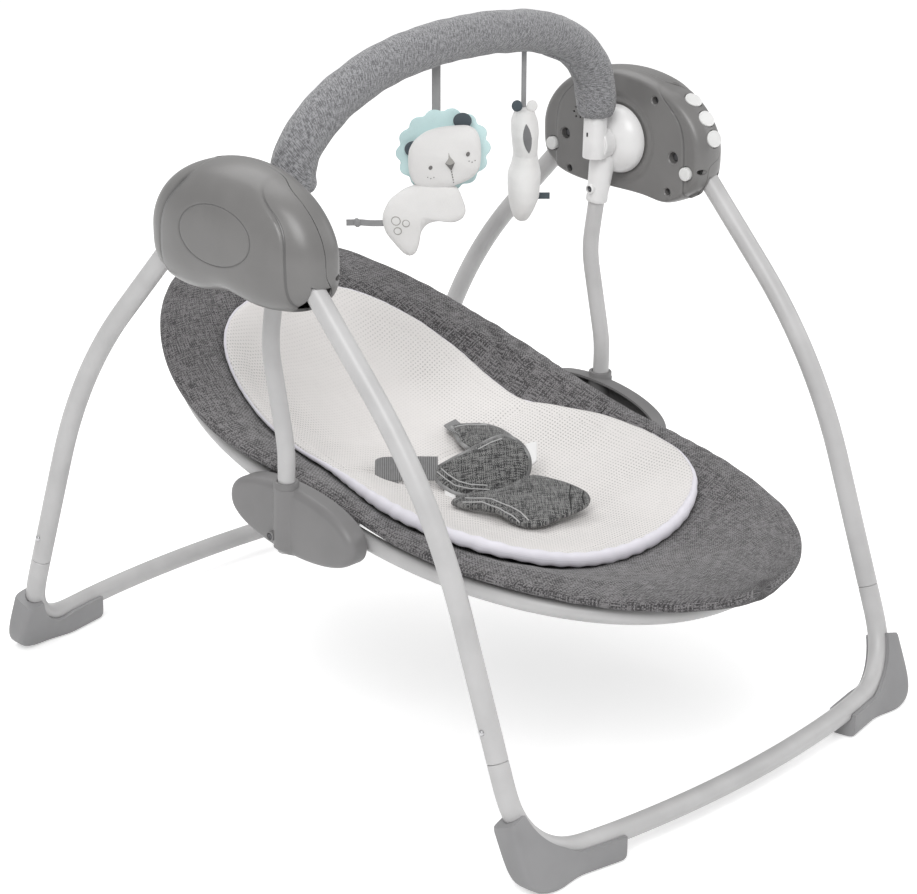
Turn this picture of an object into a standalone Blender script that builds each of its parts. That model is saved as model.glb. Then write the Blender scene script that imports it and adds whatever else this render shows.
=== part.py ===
"""Portable electric baby swing: folding tube frame, drive hubs, hung seat, toy bar.

Metres, +Z up, floor at z = 0, origin on the floor below the swing axle.
-Y is the front (the foot end of the seat). Left is -X, right is +X, where the controls are.
"""

from math import acos, atan2, cos, exp, pi, radians, sin, sqrt, tan

import bmesh
import bpy
import numpy as np
from mathutils import Matrix, Vector

for leftover in list(bpy.data.objects):
    bpy.data.objects.remove(leftover, do_unlink=True)

# Clearances between pieces
GAP = 0.0003
SOFT_GAP = 0.0030

# Swing axle, caps and hanger tubes
AXLE_Z = 0.500
JOURNAL_R = 0.0080
JOURNAL_RUN = 0.0275
BUSH_R = 0.0132
BUSH_FLANGE_R = 0.0165
BUSH_RUN = 0.0120
CAP_R = 0.034
CAP_DEPTH = 0.0202
HANGER_X = 0.214
HANGER_R = 0.0080
HANGER_WALL = 0.0012
SLEEVE_R = 0.0125
SLEEVE_END_Z = 0.4393
HANGER_TOP_Z = 0.470
HANGER_END_Z = 0.1945
HANGER_SCREW_Z = 0.4535

# Drive hubs, each from its inner face HUB_IN to its dome HUB_OUT
HUB_IN = HANGER_X + CAP_DEPTH + GAP
HUB_DEEP = 0.063
HUB_OUT = HUB_IN + HUB_DEEP
HUB_WIDEST = HUB_IN + 0.238 * HUB_DEEP
HUB_PART = HUB_IN + 0.527 * HUB_DEEP
HUB_HALF_LENGTH = 0.1048
HUB_UP = 0.0713
HUB_DOWN = 0.0511
HUB_Z = 0.4972
HUB_FACE = 0.90
HUB_WALL = 0.0025
PIVOT_POST_R = 0.0047
SCREW_POST_R = 0.0046
SCREW_HOLE_R = 0.0040
UPPER_SCREW = (HUB_HALF_LENGTH - 0.0598, 0.5435)
LOWER_SCREW = (HUB_HALF_LENGTH - 0.0428, 0.4630)

# Folding frame
LEG_INSET = 0.0255
LEG_X = HUB_IN + LEG_INSET
LEG_R = 0.0095
LEG_WALL = 0.0012
PIVOT_INSET = 0.0328
PIVOT_Y = HUB_HALF_LENGTH - PIVOT_INSET
PIVOT_Z = 0.4954
UPPER_ANGLE = radians(43.04)
LOWER_ANGLE = radians(19.65)
FOLD_ANGLE = radians(28.0)
UPPER_RUN = 0.2353
KNEE_R = 0.49
SEAM_Z = 0.1085
LEG_ABOVE_PIVOT = 0.013
BASE_Z = 0.0232
BASE_BOW = 0.447
CORNER_R = 0.062
SPIGOT_LENGTH = 0.045
SNAP_ABOVE_SEAM = 0.029
SNAP_R = 0.0028
SNAP_PROUD = 0.0022
FOOT_WALL = 0.0034
FOOT_FLAT = 0.0107
FOOT_ON_BASE = 0.043

# Toy bar
BAR_INSET = 0.014
BAR_HALF_SPAN = HANGER_X - BAR_INSET
BAR_RISE = 0.105
BAR_R = 0.0200
ROD_R = 0.0060
CLIP_R = 0.0165
CLIP_WIDTH = 0.0225
CLIP_NECK_R = 0.0112
CLIP_FOOT_R = 0.0120
CLIP_BELOW = 0.0130
CLIP_TOP_Z = 0.528
STUB_R = 0.0060

# Side brackets
BRACKET_LONG = 0.082
BRACKET_HIGH = 0.033
BRACKET_TILT = radians(5.0)
BRACKET_Y = -0.0085
BRACKET_Z = 0.226
BRACKET_IN = HANGER_X - 0.015
BRACKET_OUT = HANGER_X + 0.005
BRACKET_WALL = 0.0024
PLATE_LONG = 0.074
PLATE_HIGH = 0.022
PLATE_THICK = 0.0045
SOCKET_R = 0.0112
RECLINE_R = 0.0100
BOSS_ABOVE = 0.0380
BOSS_FLOOR = 0.0090

# Seat
RING_R = 0.0080
RING_WALL = 0.0012
RING_INSET = 0.0295
RING_X = HANGER_X - RING_INSET
RING_FRONT = 0.352
RING_BACK = 0.296
SEAT_OVERHANG = 0.019
SEAT_HALF_W = RING_X + SEAT_OVERHANG
SEAT_FRONT = 0.380
SEAT_BACK = 0.312
SEAT_Z = 0.231
SEAT_SLOPE = 0.20
SEAT_CURVE = 0.456
SEAT_LIFT = 0.593
SEAT_DEPTH = 0.062
SEAT_ROUND = 2.3
HEM_R = 0.0092
SLING_R = 0.0042
INSERT_R = 0.0058
HEM_WIDTH = 0.115

# Press of the fold buttons
FOLD_TRAVEL = 0.0030

DOWN = Vector((0, 0, -1))
OUTWARD = Vector((1, 0, 0))
UPWARD = Vector((0, 0, 1))


def paint(name, colour, roughness, metallic=0.0):
    """A Principled material."""
    made = bpy.data.materials.new(name)
    made.use_nodes = True
    shader = made.node_tree.nodes["Principled BSDF"]
    shader.inputs["Base Color"].default_value = (*colour, 1.0)
    shader.inputs["Roughness"].default_value = roughness
    shader.inputs["Metallic"].default_value = metallic
    made.diffuse_color = (*colour, 1.0)
    return made


GREY_PLASTIC = (0.27, 0.27, 0.275)
TUBE_PAINT = (0.62, 0.62, 0.61)
WHITE_PLASTIC = (0.86, 0.86, 0.85)
DARK_CLOTH = (0.085, 0.087, 0.092)
MESH_CLOTH = (0.80, 0.80, 0.81)
JERSEY = (0.20, 0.20, 0.215)
PLUSH = (0.88, 0.87, 0.86)
AQUA = (0.55, 0.80, 0.81)
STEEL = (0.55, 0.56, 0.58)
COPPER = (0.72, 0.36, 0.18)
BOARD_GREEN = (0.03, 0.20, 0.09)
BLACK = (0.03, 0.03, 0.03)


def frame_at(name, place, parent=None):
    """An empty on a joint's axis, which carries the pieces that turn or slide with it."""
    empty = bpy.data.objects.new(name, None)
    bpy.context.collection.objects.link(empty)
    empty["world"] = tuple(place)
    if parent is None:
        empty.location = place
    else:
        empty.parent = parent
        empty.location = Vector(place) - Vector(parent["world"])
    return empty


def solid(name, loops, look=None, body=None, ring=False, sharp=40.0):
    """One closed mesh skinned over loops of equal count, capped at both ends or closed as a ring."""
    centre = Vector(body["world"]) if body else Vector((0, 0, 0))
    mesh = bpy.data.meshes.new(name)
    bm = bmesh.new()
    rows = [[bm.verts.new(Vector(point) - centre) for point in loop] for loop in loops]
    count = len(rows[0])
    pairs = list(zip(rows, rows[1:]))
    if ring:
        pairs.append((rows[-1], rows[0]))
    for low, high in pairs:
        for i in range(count):
            j = (i + 1) % count
            bm.faces.new((low[i], low[j], high[j], high[i]))
    if not ring:
        bm.faces.new(rows[0])
        bm.faces.new(rows[-1])
    bmesh.ops.recalc_face_normals(bm, faces=bm.faces)
    bm.to_mesh(mesh)
    bm.free()
    mesh.shade_smooth()
    mesh.set_sharp_from_angle(angle=radians(sharp))
    made = bpy.data.objects.new(name, mesh)
    bpy.context.collection.objects.link(made)
    if look:
        mesh.materials.append(paint(name, *look))
    if body:
        made.parent = body
    if look is None:
        made.hide_render = True
        made.display_type = "WIRE"
    return made


def combine(target, others, operation):
    """Boolean modifiers that stay on the target."""
    for other in others:
        step = target.modifiers.new(other.name, "BOOLEAN")
        step.operation = operation
        step.object = other
    return target


def cut(target, *others):
    return combine(target, others, "DIFFERENCE")


def weld(target, *others):
    return combine(target, others, "UNION")


def square_axes(direction):
    """Two unit vectors square to a direction."""
    along = Vector(direction).normalized()
    helper = Vector((0, 0, 1)) if abs(along.z) < 0.9 else Vector((0, 1, 0))
    side = helper.cross(along).normalized()
    return side, along.cross(side)


def circle(centre, direction, radius, sides=16, stretch=1.0):
    """Points of a circle, or of an ellipse when stretched, square to a direction."""
    side, up = square_axes(direction)
    steps = [2 * pi * (i + 0.5) / sides for i in range(sides)]
    return [Vector(centre) + side * radius * stretch * cos(a) + up * radius * sin(a) for a in steps]


def turned(name, start, direction, profile, look=None, body=None, sides=16):
    """A turned piece. The profile is (distance along the axis, radius)."""
    along = Vector(direction).normalized()
    loops = [circle(Vector(start) + along * d, along, r, sides) for d, r in profile]
    return solid(name, loops, look, body)


def rod(name, start, end, radius, look=None, body=None, sides=16):
    """A plain cylinder between two points."""
    start, end = Vector(start), Vector(end)
    return turned(name, start, end - start, [(0, radius), ((end - start).length, radius)], look, body, sides)


def block(name, low, high, look=None, body=None):
    """A box between two corners."""
    (x0, y0, z0), (x1, y1, z1) = low, high
    loops = [[(x, y0, z0), (x, y1, z0), (x, y1, z1), (x, y0, z1)] for x in (x0, x1)]
    return solid(name, loops, look, body)


def rounded(points, radius, steps):
    """A path through points with its inner corners turned to arcs."""
    points = [Vector(p) for p in points]
    path = [points[0]]
    for before, corner, after in zip(points, points[1:], points[2:]):
        u = (before - corner).normalized()
        v = (after - corner).normalized()
        half = acos(max(-1.0, min(1.0, u.dot(v)))) / 2
        run = radius / tan(half)
        middle = corner + (u + v).normalized() * radius / sin(half)
        first = corner + u * run - middle
        last = corner + v * run - middle
        sweep = first.angle(last)
        for i in range(steps + 1):
            t = i / steps
            turn = (first * sin((1 - t) * sweep) + last * sin(t * sweep)) / sin(sweep)
            path.append(middle + turn)
    path.append(points[-1])
    return path


def tangents(path):
    """The direction at each point of a path: halfway between the runs that meet there."""
    runs = [(b - a).normalized() for a, b in zip(path, path[1:])]
    return [runs[0]] + [(a + b).normalized() for a, b in zip(runs, runs[1:])] + [runs[-1]]


def tube(name, path, outer, inner, look, body=None, sides=10, upright=None):
    """A tube along a path, open at both ends, or a rod when the inner radius is None.

    outer and inner are one radius or one per point. Every section is set by upright if it is
    given, and otherwise by the section before.
    """
    path = [Vector(p) for p in path]
    count = len(path)
    outer = [outer] * count if isinstance(outer, float) else outer
    inner = [inner] * count if isinstance(inner, float) else inner
    ways = tangents(path)
    side = square_axes(ways[0])[0]
    frames = []
    for way in ways:
        side = upright.cross(way) if upright else side - way * side.dot(way)
        side = side.normalized()
        frames.append((side, way.cross(side)))

    def around(i, radius):
        s, u = frames[i]
        turns = [2 * pi * (k + 0.5) / sides for k in range(sides)]
        return [path[i] + s * radius * cos(a) + u * radius * sin(a) for a in turns]

    loops = [around(i, outer[i]) for i in range(count)]
    if inner is None:
        return solid(name, loops, look, body)
    loops += [around(i, inner[i]) for i in reversed(range(count))]
    return solid(name, loops, look, body, ring=True)


SIDES = {"left": -1, "right": 1}
ENDS = {"front": -1, "rear": 1}

# Frames of the moving bodies
swing = frame_at("swing_axis", (0, 0, AXLE_Z))
seat = frame_at("recline_axis", (0, 0, BRACKET_Z), swing)
toy_bar = frame_at("toy_bar_axis", (0, 0, AXLE_Z), swing)
frames = {end: frame_at(end + "_fold_axis", (0, sign * PIVOT_Y, PIVOT_Z)) for end, sign in ENDS.items()}


# Frame tubes
# The leg line runs out from its pivot, bends at the knee and meets the base tube at the seam.
KNEE_Y = PIVOT_Y + UPPER_RUN * sin(UPPER_ANGLE)
KNEE_Z = PIVOT_Z - UPPER_RUN * cos(UPPER_ANGLE)
BASE_Y = KNEE_Y + (KNEE_Z - BASE_Z) * tan(LOWER_ANGLE)


def leg_point(z):
    """The (y, z) place on the straight lower run at a height."""
    return KNEE_Y + (KNEE_Z - z) * tan(LOWER_ANGLE), z


def leg_above(distance):
    """The (y, z) place on the straight upper run, at a distance above its pivot."""
    return PIVOT_Y - distance * sin(UPPER_ANGLE), PIVOT_Z + distance * cos(UPPER_ANGLE)


def place(side, end, yz):
    return Vector((side * LEG_X, end * yz[0], yz[1]))


SNAP_Z = SEAM_Z + SNAP_ABOVE_SEAM * cos(LOWER_ANGLE)
LEG_BORE = LEG_R - LEG_WALL
SPIGOT_R = LEG_BORE - GAP

for end_name, end in ENDS.items():
    body = frames[end_name]
    for side_name, side in SIDES.items():
        path = rounded(
            [
                place(side, end, leg_above(LEG_ABOVE_PIVOT)),
                place(side, end, (KNEE_Y, KNEE_Z)),
                place(side, end, leg_point(SEAM_Z + GAP)),
            ],
            KNEE_R,
            3,
        )
        name = f"{side_name}_{end_name}_leg"
        leg = tube(name, path, LEG_R, LEG_BORE, (TUBE_PAINT, 0.35), body)
        pivot = place(side, end, (PIVOT_Y, PIVOT_Z))
        snap = place(side, end, leg_point(SNAP_Z))
        out = OUTWARD * side
        reach = out * 0.02
        hole = rod(name + "_pivot_hole", pivot - reach, pivot + reach, PIVOT_POST_R + 0.0005, sides=10)
        snap_hole = rod(name + "_snap_hole", snap, snap + out * 0.02, SNAP_R + GAP, sides=8)
        cut(leg, hole, snap_hole)


def base_path(end):
    """The base tube's centre line from its left spigot to its right one, and the corner arcs' lengths."""
    top = leg_point(SEAM_Z + SPIGOT_LENGTH)
    corner_y = BASE_Y
    middle = [(x, corner_y + BASE_BOW * (LEG_X**2 - x**2)) for x in (-0.17, -0.065, 0.065, 0.17)]
    points = [place(-1, end, top), place(-1, end, (corner_y, BASE_Z))]
    points += [Vector((x, end * y, BASE_Z)) for x, y in middle]
    points += [place(1, end, (corner_y, BASE_Z)), place(1, end, top)]
    left = rounded(points[:3], CORNER_R, CORNER_STEPS)
    right = rounded(points[-3:], CORNER_R, CORNER_STEPS)
    return left[:-1], points[2:-2], right[1:]


CORNER_STEPS = 4
for end_name, end in ENDS.items():
    body = frames[end_name]
    left, middle, right = base_path(end)
    seams = {s: place(s, end, leg_point(SEAM_Z)) for s in (-1, 1)}
    path = [left[0], seams[-1], seams[-1]] + left[1:] + middle + right[:-1] + [seams[1], seams[1], right[-1]]
    step = (left[1] - left[0]).normalized() * 0.0002
    path[2] = path[2] + step
    step = (right[-2] - right[-1]).normalized() * 0.0002
    path[-3] = path[-3] + step
    full = len(path) - 4
    outer = [SPIGOT_R] * 2 + [LEG_R] * full + [SPIGOT_R] * 2
    inner = [SPIGOT_R - LEG_WALL] * len(path)
    upright = (path[1] - path[0]).cross(OUTWARD)
    base = tube(f"{end_name}_base_tube", path, outer, inner, (TUBE_PAINT, 0.35), body, upright=upright)
    for side_name, side in SIDES.items():
        snap = place(side, end, leg_point(SNAP_Z))
        out = OUTWARD * side
        snap_hole = rod(f"{side_name}_{end_name}_spigot_hole", snap, snap + out * 0.02, SNAP_R + GAP, sides=8)
        cut(base, snap_hole)
        button_axis = frame_at(f"{side_name}_{end_name}_snap_axis", snap, body)
        flange = 0.0032
        profile = [
            (flange, 0.0042),
            (flange + 0.0010, 0.0042),
            (flange + 0.0011, SNAP_R),
            (LEG_R + SNAP_PROUD - 0.0010, SNAP_R),
            (LEG_R + SNAP_PROUD, SNAP_R * 0.6),
        ]
        name = f"{side_name}_{end_name}_snap_button"
        turned(name, snap, out, profile, (STEEL, 0.3, 1.0), button_axis, sides=8)


# Corner feet
# Each is a moulded boot that fills the outside of the bend, from its upright wall to the floor.
FOOT_BORE = (LEG_R + 3 * GAP) / cos(pi / 10)
FOOT_HALF = FOOT_BORE + FOOT_WALL
FOOT_LIP = 0.0012
FOOT_CORNER = 3.0


def foot_depth(point, outward):
    """How far the boot reaches from a point: to its wall or the floor, rounded where they meet."""
    to_floor = point.z / max(-outward.z, 1e-6)
    to_wall = (LEG_X + FOOT_HALF - abs(point.x)) / max(abs(outward.x), 1e-6)
    return (to_wall**-FOOT_CORNER + to_floor**-FOOT_CORNER) ** (-1 / FOOT_CORNER)


def foot_section(centre, way, outward):
    """A U round the tube, from lip to lip, that reaches out to the wall or the floor."""
    across = way.cross(outward).normalized()
    out = []
    for sign in (1, -1):
        depth = foot_depth(centre + across * sign * FOOT_FLAT, outward)
        edge = [(FOOT_HALF, -FOOT_LIP), (FOOT_HALF, depth * 0.55), (FOOT_FLAT, depth)]
        out += [(sign * a, b) for a, b in edge][::sign]
    start = -atan2(FOOT_LIP, sqrt(FOOT_BORE**2 - FOOT_LIP**2))
    inside = []
    for k in range(7):
        a = pi - start - k * (pi - 2 * start) / 6
        inside.append((FOOT_BORE * cos(a), FOOT_BORE * sin(a)))
    return [centre + across * a + outward * b for a, b in out + inside]


for end_name, end in ENDS.items():
    left, middle, right = base_path(end)
    for side_name, side in SIDES.items():
        arc = left[1:] if side < 0 else list(reversed(right[:-1]))
        run_way = (middle[0] if side < 0 else middle[-1]) - arc[-1]
        run_way = run_way.normalized()
        leg_down = (arc[0] - place(side, end, leg_point(SEAM_Z))).normalized()
        path = [arc[0].lerp(arc[1], 0.67), arc[1], arc[2], arc[2].lerp(arc[3], 0.5), arc[3], arc[4]]
        path.append(arc[4] + run_way * FOOT_ON_BASE)
        loops = []
        for point, way, t in zip(path, tangents(path), (0.17, 0.25, 0.5, 0.625, 0.75, 1.0, 1.0)):
            blend = Vector((side, 0, 0)) * (1 - t) + (leg_down if t < 1 else DOWN) * t
            outward = (blend - way * blend.dot(way)).normalized()
            loops.append(foot_section(point, way, outward))
        foot = solid(f"{side_name}_{end_name}_foot", loops, (GREY_PLASTIC, 0.5), frames[end_name])


# Drive hub shells
# Each hub is a pebble split across its width: an inner half with the flat face, an outer dome.
HUB_POINTS = 20
HUB_CORNER = 3.57


def hub_bottom(x, y):
    """Height of the hub below its middle line: drawn up between the legs outside, bulged in front inside."""
    outer = min(1.0, max(0.0, (x - HUB_IN) / (HUB_PART - HUB_IN)))
    waist = 0.15 * outer * exp(-(((y + 0.004) / 0.028) ** 2))
    bulge = 0.11 * (1 - outer) * exp(-(((y + 0.060) / 0.020) ** 2))
    return HUB_DOWN * (1 - waist + bulge)


def hub_scale(x):
    """Share of the full outline at a distance from the middle of the swing."""
    if x <= HUB_WIDEST:
        t = (HUB_WIDEST - x) / (HUB_WIDEST - HUB_IN)
        return HUB_FACE + (1 - HUB_FACE) * sqrt(max(0.0, 1 - t * t))
    t = min(1.0, (x - HUB_WIDEST) / (HUB_OUT - HUB_WIDEST + 0.0005))
    return (1 - t**2.7) ** (1 / 2.7)


def hub_loop(side, x, inset=0.0, scale=None):
    """The hub's outline at x, drawn in by inset."""
    scale = hub_scale(x) if scale is None else scale
    points = []
    for k in range(HUB_POINTS):
        a = 2 * pi * (k + 0.5) / HUB_POINTS
        y = (HUB_HALF_LENGTH * scale - inset) * cos(a)
        if sin(a) > 0:
            z = (HUB_UP * scale - inset) * sin(a)
        else:
            z = -(hub_bottom(x, y) * scale - inset) * (1 - abs(cos(a)) ** HUB_CORNER) ** (1 / HUB_CORNER)
        points.append((side * x, y, HUB_Z + z))
    return points


def hub_lining(side, x, depth):
    """The dome's loop at x, moved inward along the surface's normal."""
    slope = (hub_scale(x + 0.0001) - hub_scale(x - 0.0001)) / 0.0002 * 0.8 * HUB_HALF_LENGTH
    length = sqrt(1 + slope**2)
    return hub_loop(side, x + depth * slope / length, depth / length, hub_scale(x))


def leg_slot(name, side, end):
    """The room that a leg needs in the rim, from spread to folded."""
    wide = LEG_R + GAP
    spread, folded = UPPER_ANGLE, UPPER_ANGLE - FOLD_ANGLE
    outline = []
    for angle, offset, runs in ((spread, wide, (0.018, 0.075)), (folded, -wide, (0.075, 0.018))):
        for run in runs:
            y = PIVOT_Y + run * sin(angle) + offset * cos(angle)
            z = PIVOT_Z - run * cos(angle) + offset * sin(angle)
            outline.append((end * y, z))
    xs = (side * (LEG_X - wide), side * (LEG_X + wide))
    return solid(name, [[(x, y, z) for y, z in outline] for x in xs])


rim = HUB_WIDEST - HUB_IN
waist = (HUB_WIDEST + HUB_PART) / 2
stations = [HUB_IN, HUB_IN + 0.13 * rim, HUB_IN + 0.43 * rim, HUB_WIDEST, waist, HUB_PART]
lining = [HUB_PART, waist, HUB_WIDEST, HUB_IN + HUB_WALL]
dome = [HUB_PART + share * (HUB_OUT - HUB_PART) for share in (0.28, 0.58, 0.815, 0.973)]
bush_end = HUB_IN + BUSH_RUN
inner_shells, outer_shells, cores = {}, {}, {}
for side_name, side in SIDES.items():
    out = OUTWARD * side
    loops = [hub_loop(side, x) for x in stations] + [hub_loop(side, x, HUB_WALL) for x in lining]
    name = side_name + "_hub_inner_shell"
    inner_shell = solid(name, loops, (GREY_PLASTIC, 0.45), sharp=35)
    edge = HUB_PART + GAP
    loops = [hub_loop(side, x) for x in reversed([edge] + dome)]
    loops += [hub_loop(side, edge, HUB_WALL)] + [hub_lining(side, x, HUB_WALL) for x in dome]
    name = side_name + "_hub_outer_shell"
    outer_shell = solid(name, loops, (GREY_PLASTIC, 0.45), sharp=35)
    inner_shells[side], outer_shells[side] = inner_shell, outer_shell
    core_loops = [hub_loop(side, x, 0.0008) for x in (HUB_IN - 0.001, edge)]
    core_loops += [hub_lining(side, x, 0.0008) for x in dome]
    cores[side] = solid(side_name + "_hub_core", core_loops)
    face = HUB_IN - 0.004
    for end_name, end in ENDS.items():
        slot = leg_slot(f"{side_name}_{end_name}_slot", side, end)
        cut(inner_shell, slot)
        cut(outer_shell, slot)
        spots = {"pivot": (PIVOT_Y, PIVOT_Z), "upper": UPPER_SCREW, "lower": LOWER_SCREW}
        for kind, (y, z) in spots.items():
            radius = PIVOT_POST_R if kind == "pivot" else SCREW_POST_R
            floor = HUB_IN + HUB_WALL + GAP
            name = f"{side_name}_{end_name}_{kind}"
            sides = 10 if kind == "pivot" else 8
            spot = Vector((0, end * y, z))
            post = rod(name + "_post", spot + out * floor, spot + out * HUB_OUT, radius, sides=sides)
            weld(outer_shell, combine(post, [cores[side]], "INTERSECT"))
            hole_ends = spot + out * face, spot + out * (floor + 0.001)
            screw_hole = rod(name + "_hole", *hole_ends, SCREW_HOLE_R, sides=8)
            cut(inner_shell, screw_hole)
    axle = Vector((0, 0, AXLE_Z))
    hole_ends = axle + out * face, axle + out * bush_end
    bush_hole = rod(side_name + "_bush_hole", *hole_ends, BUSH_R + GAP, sides=16)
    cut(inner_shell, bush_hole)
    inboard, seat_x = HUB_IN + 0.0002, HUB_IN + HUB_WALL + GAP
    bore = JOURNAL_R + GAP
    flange_end = seat_x + 0.002
    outer_side = [(inboard, BUSH_R), (seat_x, BUSH_R), (seat_x, BUSH_FLANGE_R), (flange_end, BUSH_FLANGE_R)]
    outer_side += [(flange_end, BUSH_R), (bush_end, BUSH_R)]
    profile = outer_side + [(bush_end, bore), (inboard, bore)]
    loops = [circle(axle + out * x, out, r, 16) for x, r in profile]
    solid(side_name + "_axle_bush", loops, (WHITE_PLASTIC, 0.4), ring=True)


# Fold release buttons
# One at each leg's exit from the inner face. Its flange keeps it in the shell.
FOLD_BUTTON_R = 0.0060
FOLD_BUTTON_RUN = 0.0215
fold_y, fold_z = leg_above(-FOLD_BUTTON_RUN)
for side_name, side in SIDES.items():
    out = OUTWARD * side
    for end_name, end in ENDS.items():
        name = f"{side_name}_{end_name}_fold_button"
        spot = Vector((0, end * fold_y, fold_z))
        start = HUB_IN - 0.0030
        floor = HUB_IN + HUB_WALL + GAP
        axis = frame_at(name + "_axis", spot + out * start, None)
        profile = [
            (0, FOLD_BUTTON_R * 0.75),
            (0.0012, FOLD_BUTTON_R),
            (floor - start, FOLD_BUTTON_R),
            (floor - start, FOLD_BUTTON_R + 0.0010),
            (floor - start + 0.0012, FOLD_BUTTON_R + 0.0010),
            (floor - start + 0.0012, 0.0035),
            (LEG_X - LEG_R - FOLD_TRAVEL - 0.0012 - start, 0.0035),
        ]
        turned(name, spot + out * start, out, profile, (WHITE_PLASTIC, 0.35), axis, sides=10)
        hole_end = spot + out * (floor + 0.003)
        hole = rod(name + "_hole", spot + out * (start - 0.002), hole_end, FOLD_BUTTON_R + GAP, sides=10)
        cut(inner_shells[side], hole)


# Control keys
# Three oval keys set square to the front of the right hub's rim.
KEY_X = HUB_PART - 0.0112
KEY_LONG = 0.0078
KEY_HIGH = 0.0060
KEY_PROUD = 0.0024
KEY_ANGLES = {"speed_button": 44.0, "timer_button": 28.5, "music_button": 13.0}
for name, angle in KEY_ANGLES.items():
    a = radians(angle)
    spot = Vector((KEY_X, -HUB_HALF_LENGTH * cos(a), HUB_Z + HUB_UP * sin(a)))
    normal = Vector((0, -cos(a) / HUB_HALF_LENGTH, sin(a) / HUB_UP)).normalized()
    along = normal.cross(OUTWARD).normalized()

    def oval(depth, grow=0.0, spot=spot, normal=normal, along=along):
        steps = [2 * pi * (k + 0.5) / 12 for k in range(12)]
        middle = spot + normal * depth
        return [
            middle + OUTWARD * (KEY_LONG + grow) * cos(t) + along * (KEY_HIGH + grow) * sin(t) for t in steps
        ]

    key_hole = solid(name + "_hole", [oval(-0.008, GAP), oval(0.010, GAP)])
    cut(inner_shells[1], key_hole)
    stop = -HUB_WALL - 0.0034
    loops = [oval(KEY_PROUD, -0.0012), oval(KEY_PROUD - 0.0008), oval(stop), oval(stop, 0.0008)]
    loops += [oval(stop - 0.0010, 0.0008), oval(stop - 0.0010, -0.0025), oval(stop - 0.0030, -0.0025)]
    key_axis = frame_at(name + "_axis", spot, None)
    solid(name, loops, (WHITE_PLASTIC, 0.3), key_axis)


# Drive inside the right hub
# A magnet arm on the journal swings past a coil that the circuit board feeds.
ARM_X = (bush_end + 0.0010, bush_end + 0.0090)
ARM_HUB_R = 0.0135
MAGNET_Z = 0.4715
MAGNET_R = 0.0075
COIL_R = 0.0105
BOARD_X = HUB_OUT - 0.0210
BOARD_THICK = 0.0016
BOARD_HALF = LOWER_SCREW[0] - 0.011
BOARD_Z = (0.4630, 0.5340)
STANDOFFS = ((BOARD_HALF - 0.008, 0.4680), (BOARD_HALF - 0.008, 0.5255))
arm = rod("magnet_arm", (ARM_X[0], 0, AXLE_Z), (ARM_X[1], 0, AXLE_Z), ARM_HUB_R, (BLACK, 0.5), swing, 16)
beam = block("arm_beam", (ARM_X[0], -0.0045, MAGNET_Z), (ARM_X[1], 0.0045, AXLE_Z - 0.010))
magnet = rod("arm_magnet", (ARM_X[0], 0, MAGNET_Z), (ARM_X[1] + 0.002, 0, MAGNET_Z), MAGNET_R, sides=12)
arm_bore = rod("arm_bore", (HUB_IN, 0, AXLE_Z), (HUB_OUT, 0, AXLE_Z), JOURNAL_R + GAP, sides=16)
weld(arm, beam, magnet)
cut(arm, arm_bore)
coil_start = ARM_X[1] + 0.002 + 0.0015
coil_end = BOARD_X - GAP
coil_profile = [
    (0, COIL_R),
    (0.0012, COIL_R),
    (0.0012, COIL_R - 0.0018),
    (coil_end - coil_start - 0.0012, COIL_R - 0.0018),
    (coil_end - coil_start - 0.0012, COIL_R),
    (coil_end - coil_start, COIL_R),
]
turned("drive_coil", (coil_start, 0, MAGNET_Z), OUTWARD, coil_profile, (COPPER, 0.4, 0.8), sides=12)
board_low = (BOARD_X, -BOARD_HALF, BOARD_Z[0])
board_high = (BOARD_X + BOARD_THICK, BOARD_HALF, BOARD_Z[1])
board = block("circuit_board", board_low, board_high, (BOARD_GREEN, 0.5))
for y, z in STANDOFFS:
    for end in (-1, 1):
        start = Vector((BOARD_X + BOARD_THICK + GAP, end * y, z))
        post = rod(f"standoff_{end}_{z}", start, (HUB_OUT, end * y, z), 0.0030, sides=8)
        weld(outer_shells[1], combine(post, [cores[1]], "INTERSECT"))
SPEAKER = (PIVOT_Y - 0.019, 0.517)
SPEAKER_R = 0.0125
speaker_x = HUB_IN + HUB_WALL + GAP
speaker_start = (speaker_x, SPEAKER[0], SPEAKER[1])
magnet_can = SPEAKER_R * 0.62
speaker_profile = [(0, SPEAKER_R), (0.0025, SPEAKER_R), (0.0060, magnet_can), (0.0090, magnet_can)]
turned("speaker", speaker_start, OUTWARD, speaker_profile, (BLACK, 0.5), sides=16)
for k in range(7):
    a = 2 * pi * k / 6
    reach = 0.0 if k == 6 else 0.0055
    y, z = SPEAKER[0] + reach * cos(a), SPEAKER[1] + reach * sin(a)
    sound_hole = rod(f"sound_hole_{k}", (HUB_IN - 0.003, y, z), (HUB_IN + 0.004, y, z), 0.0012, sides=6)
    cut(inner_shells[1], sound_hole)

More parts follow.
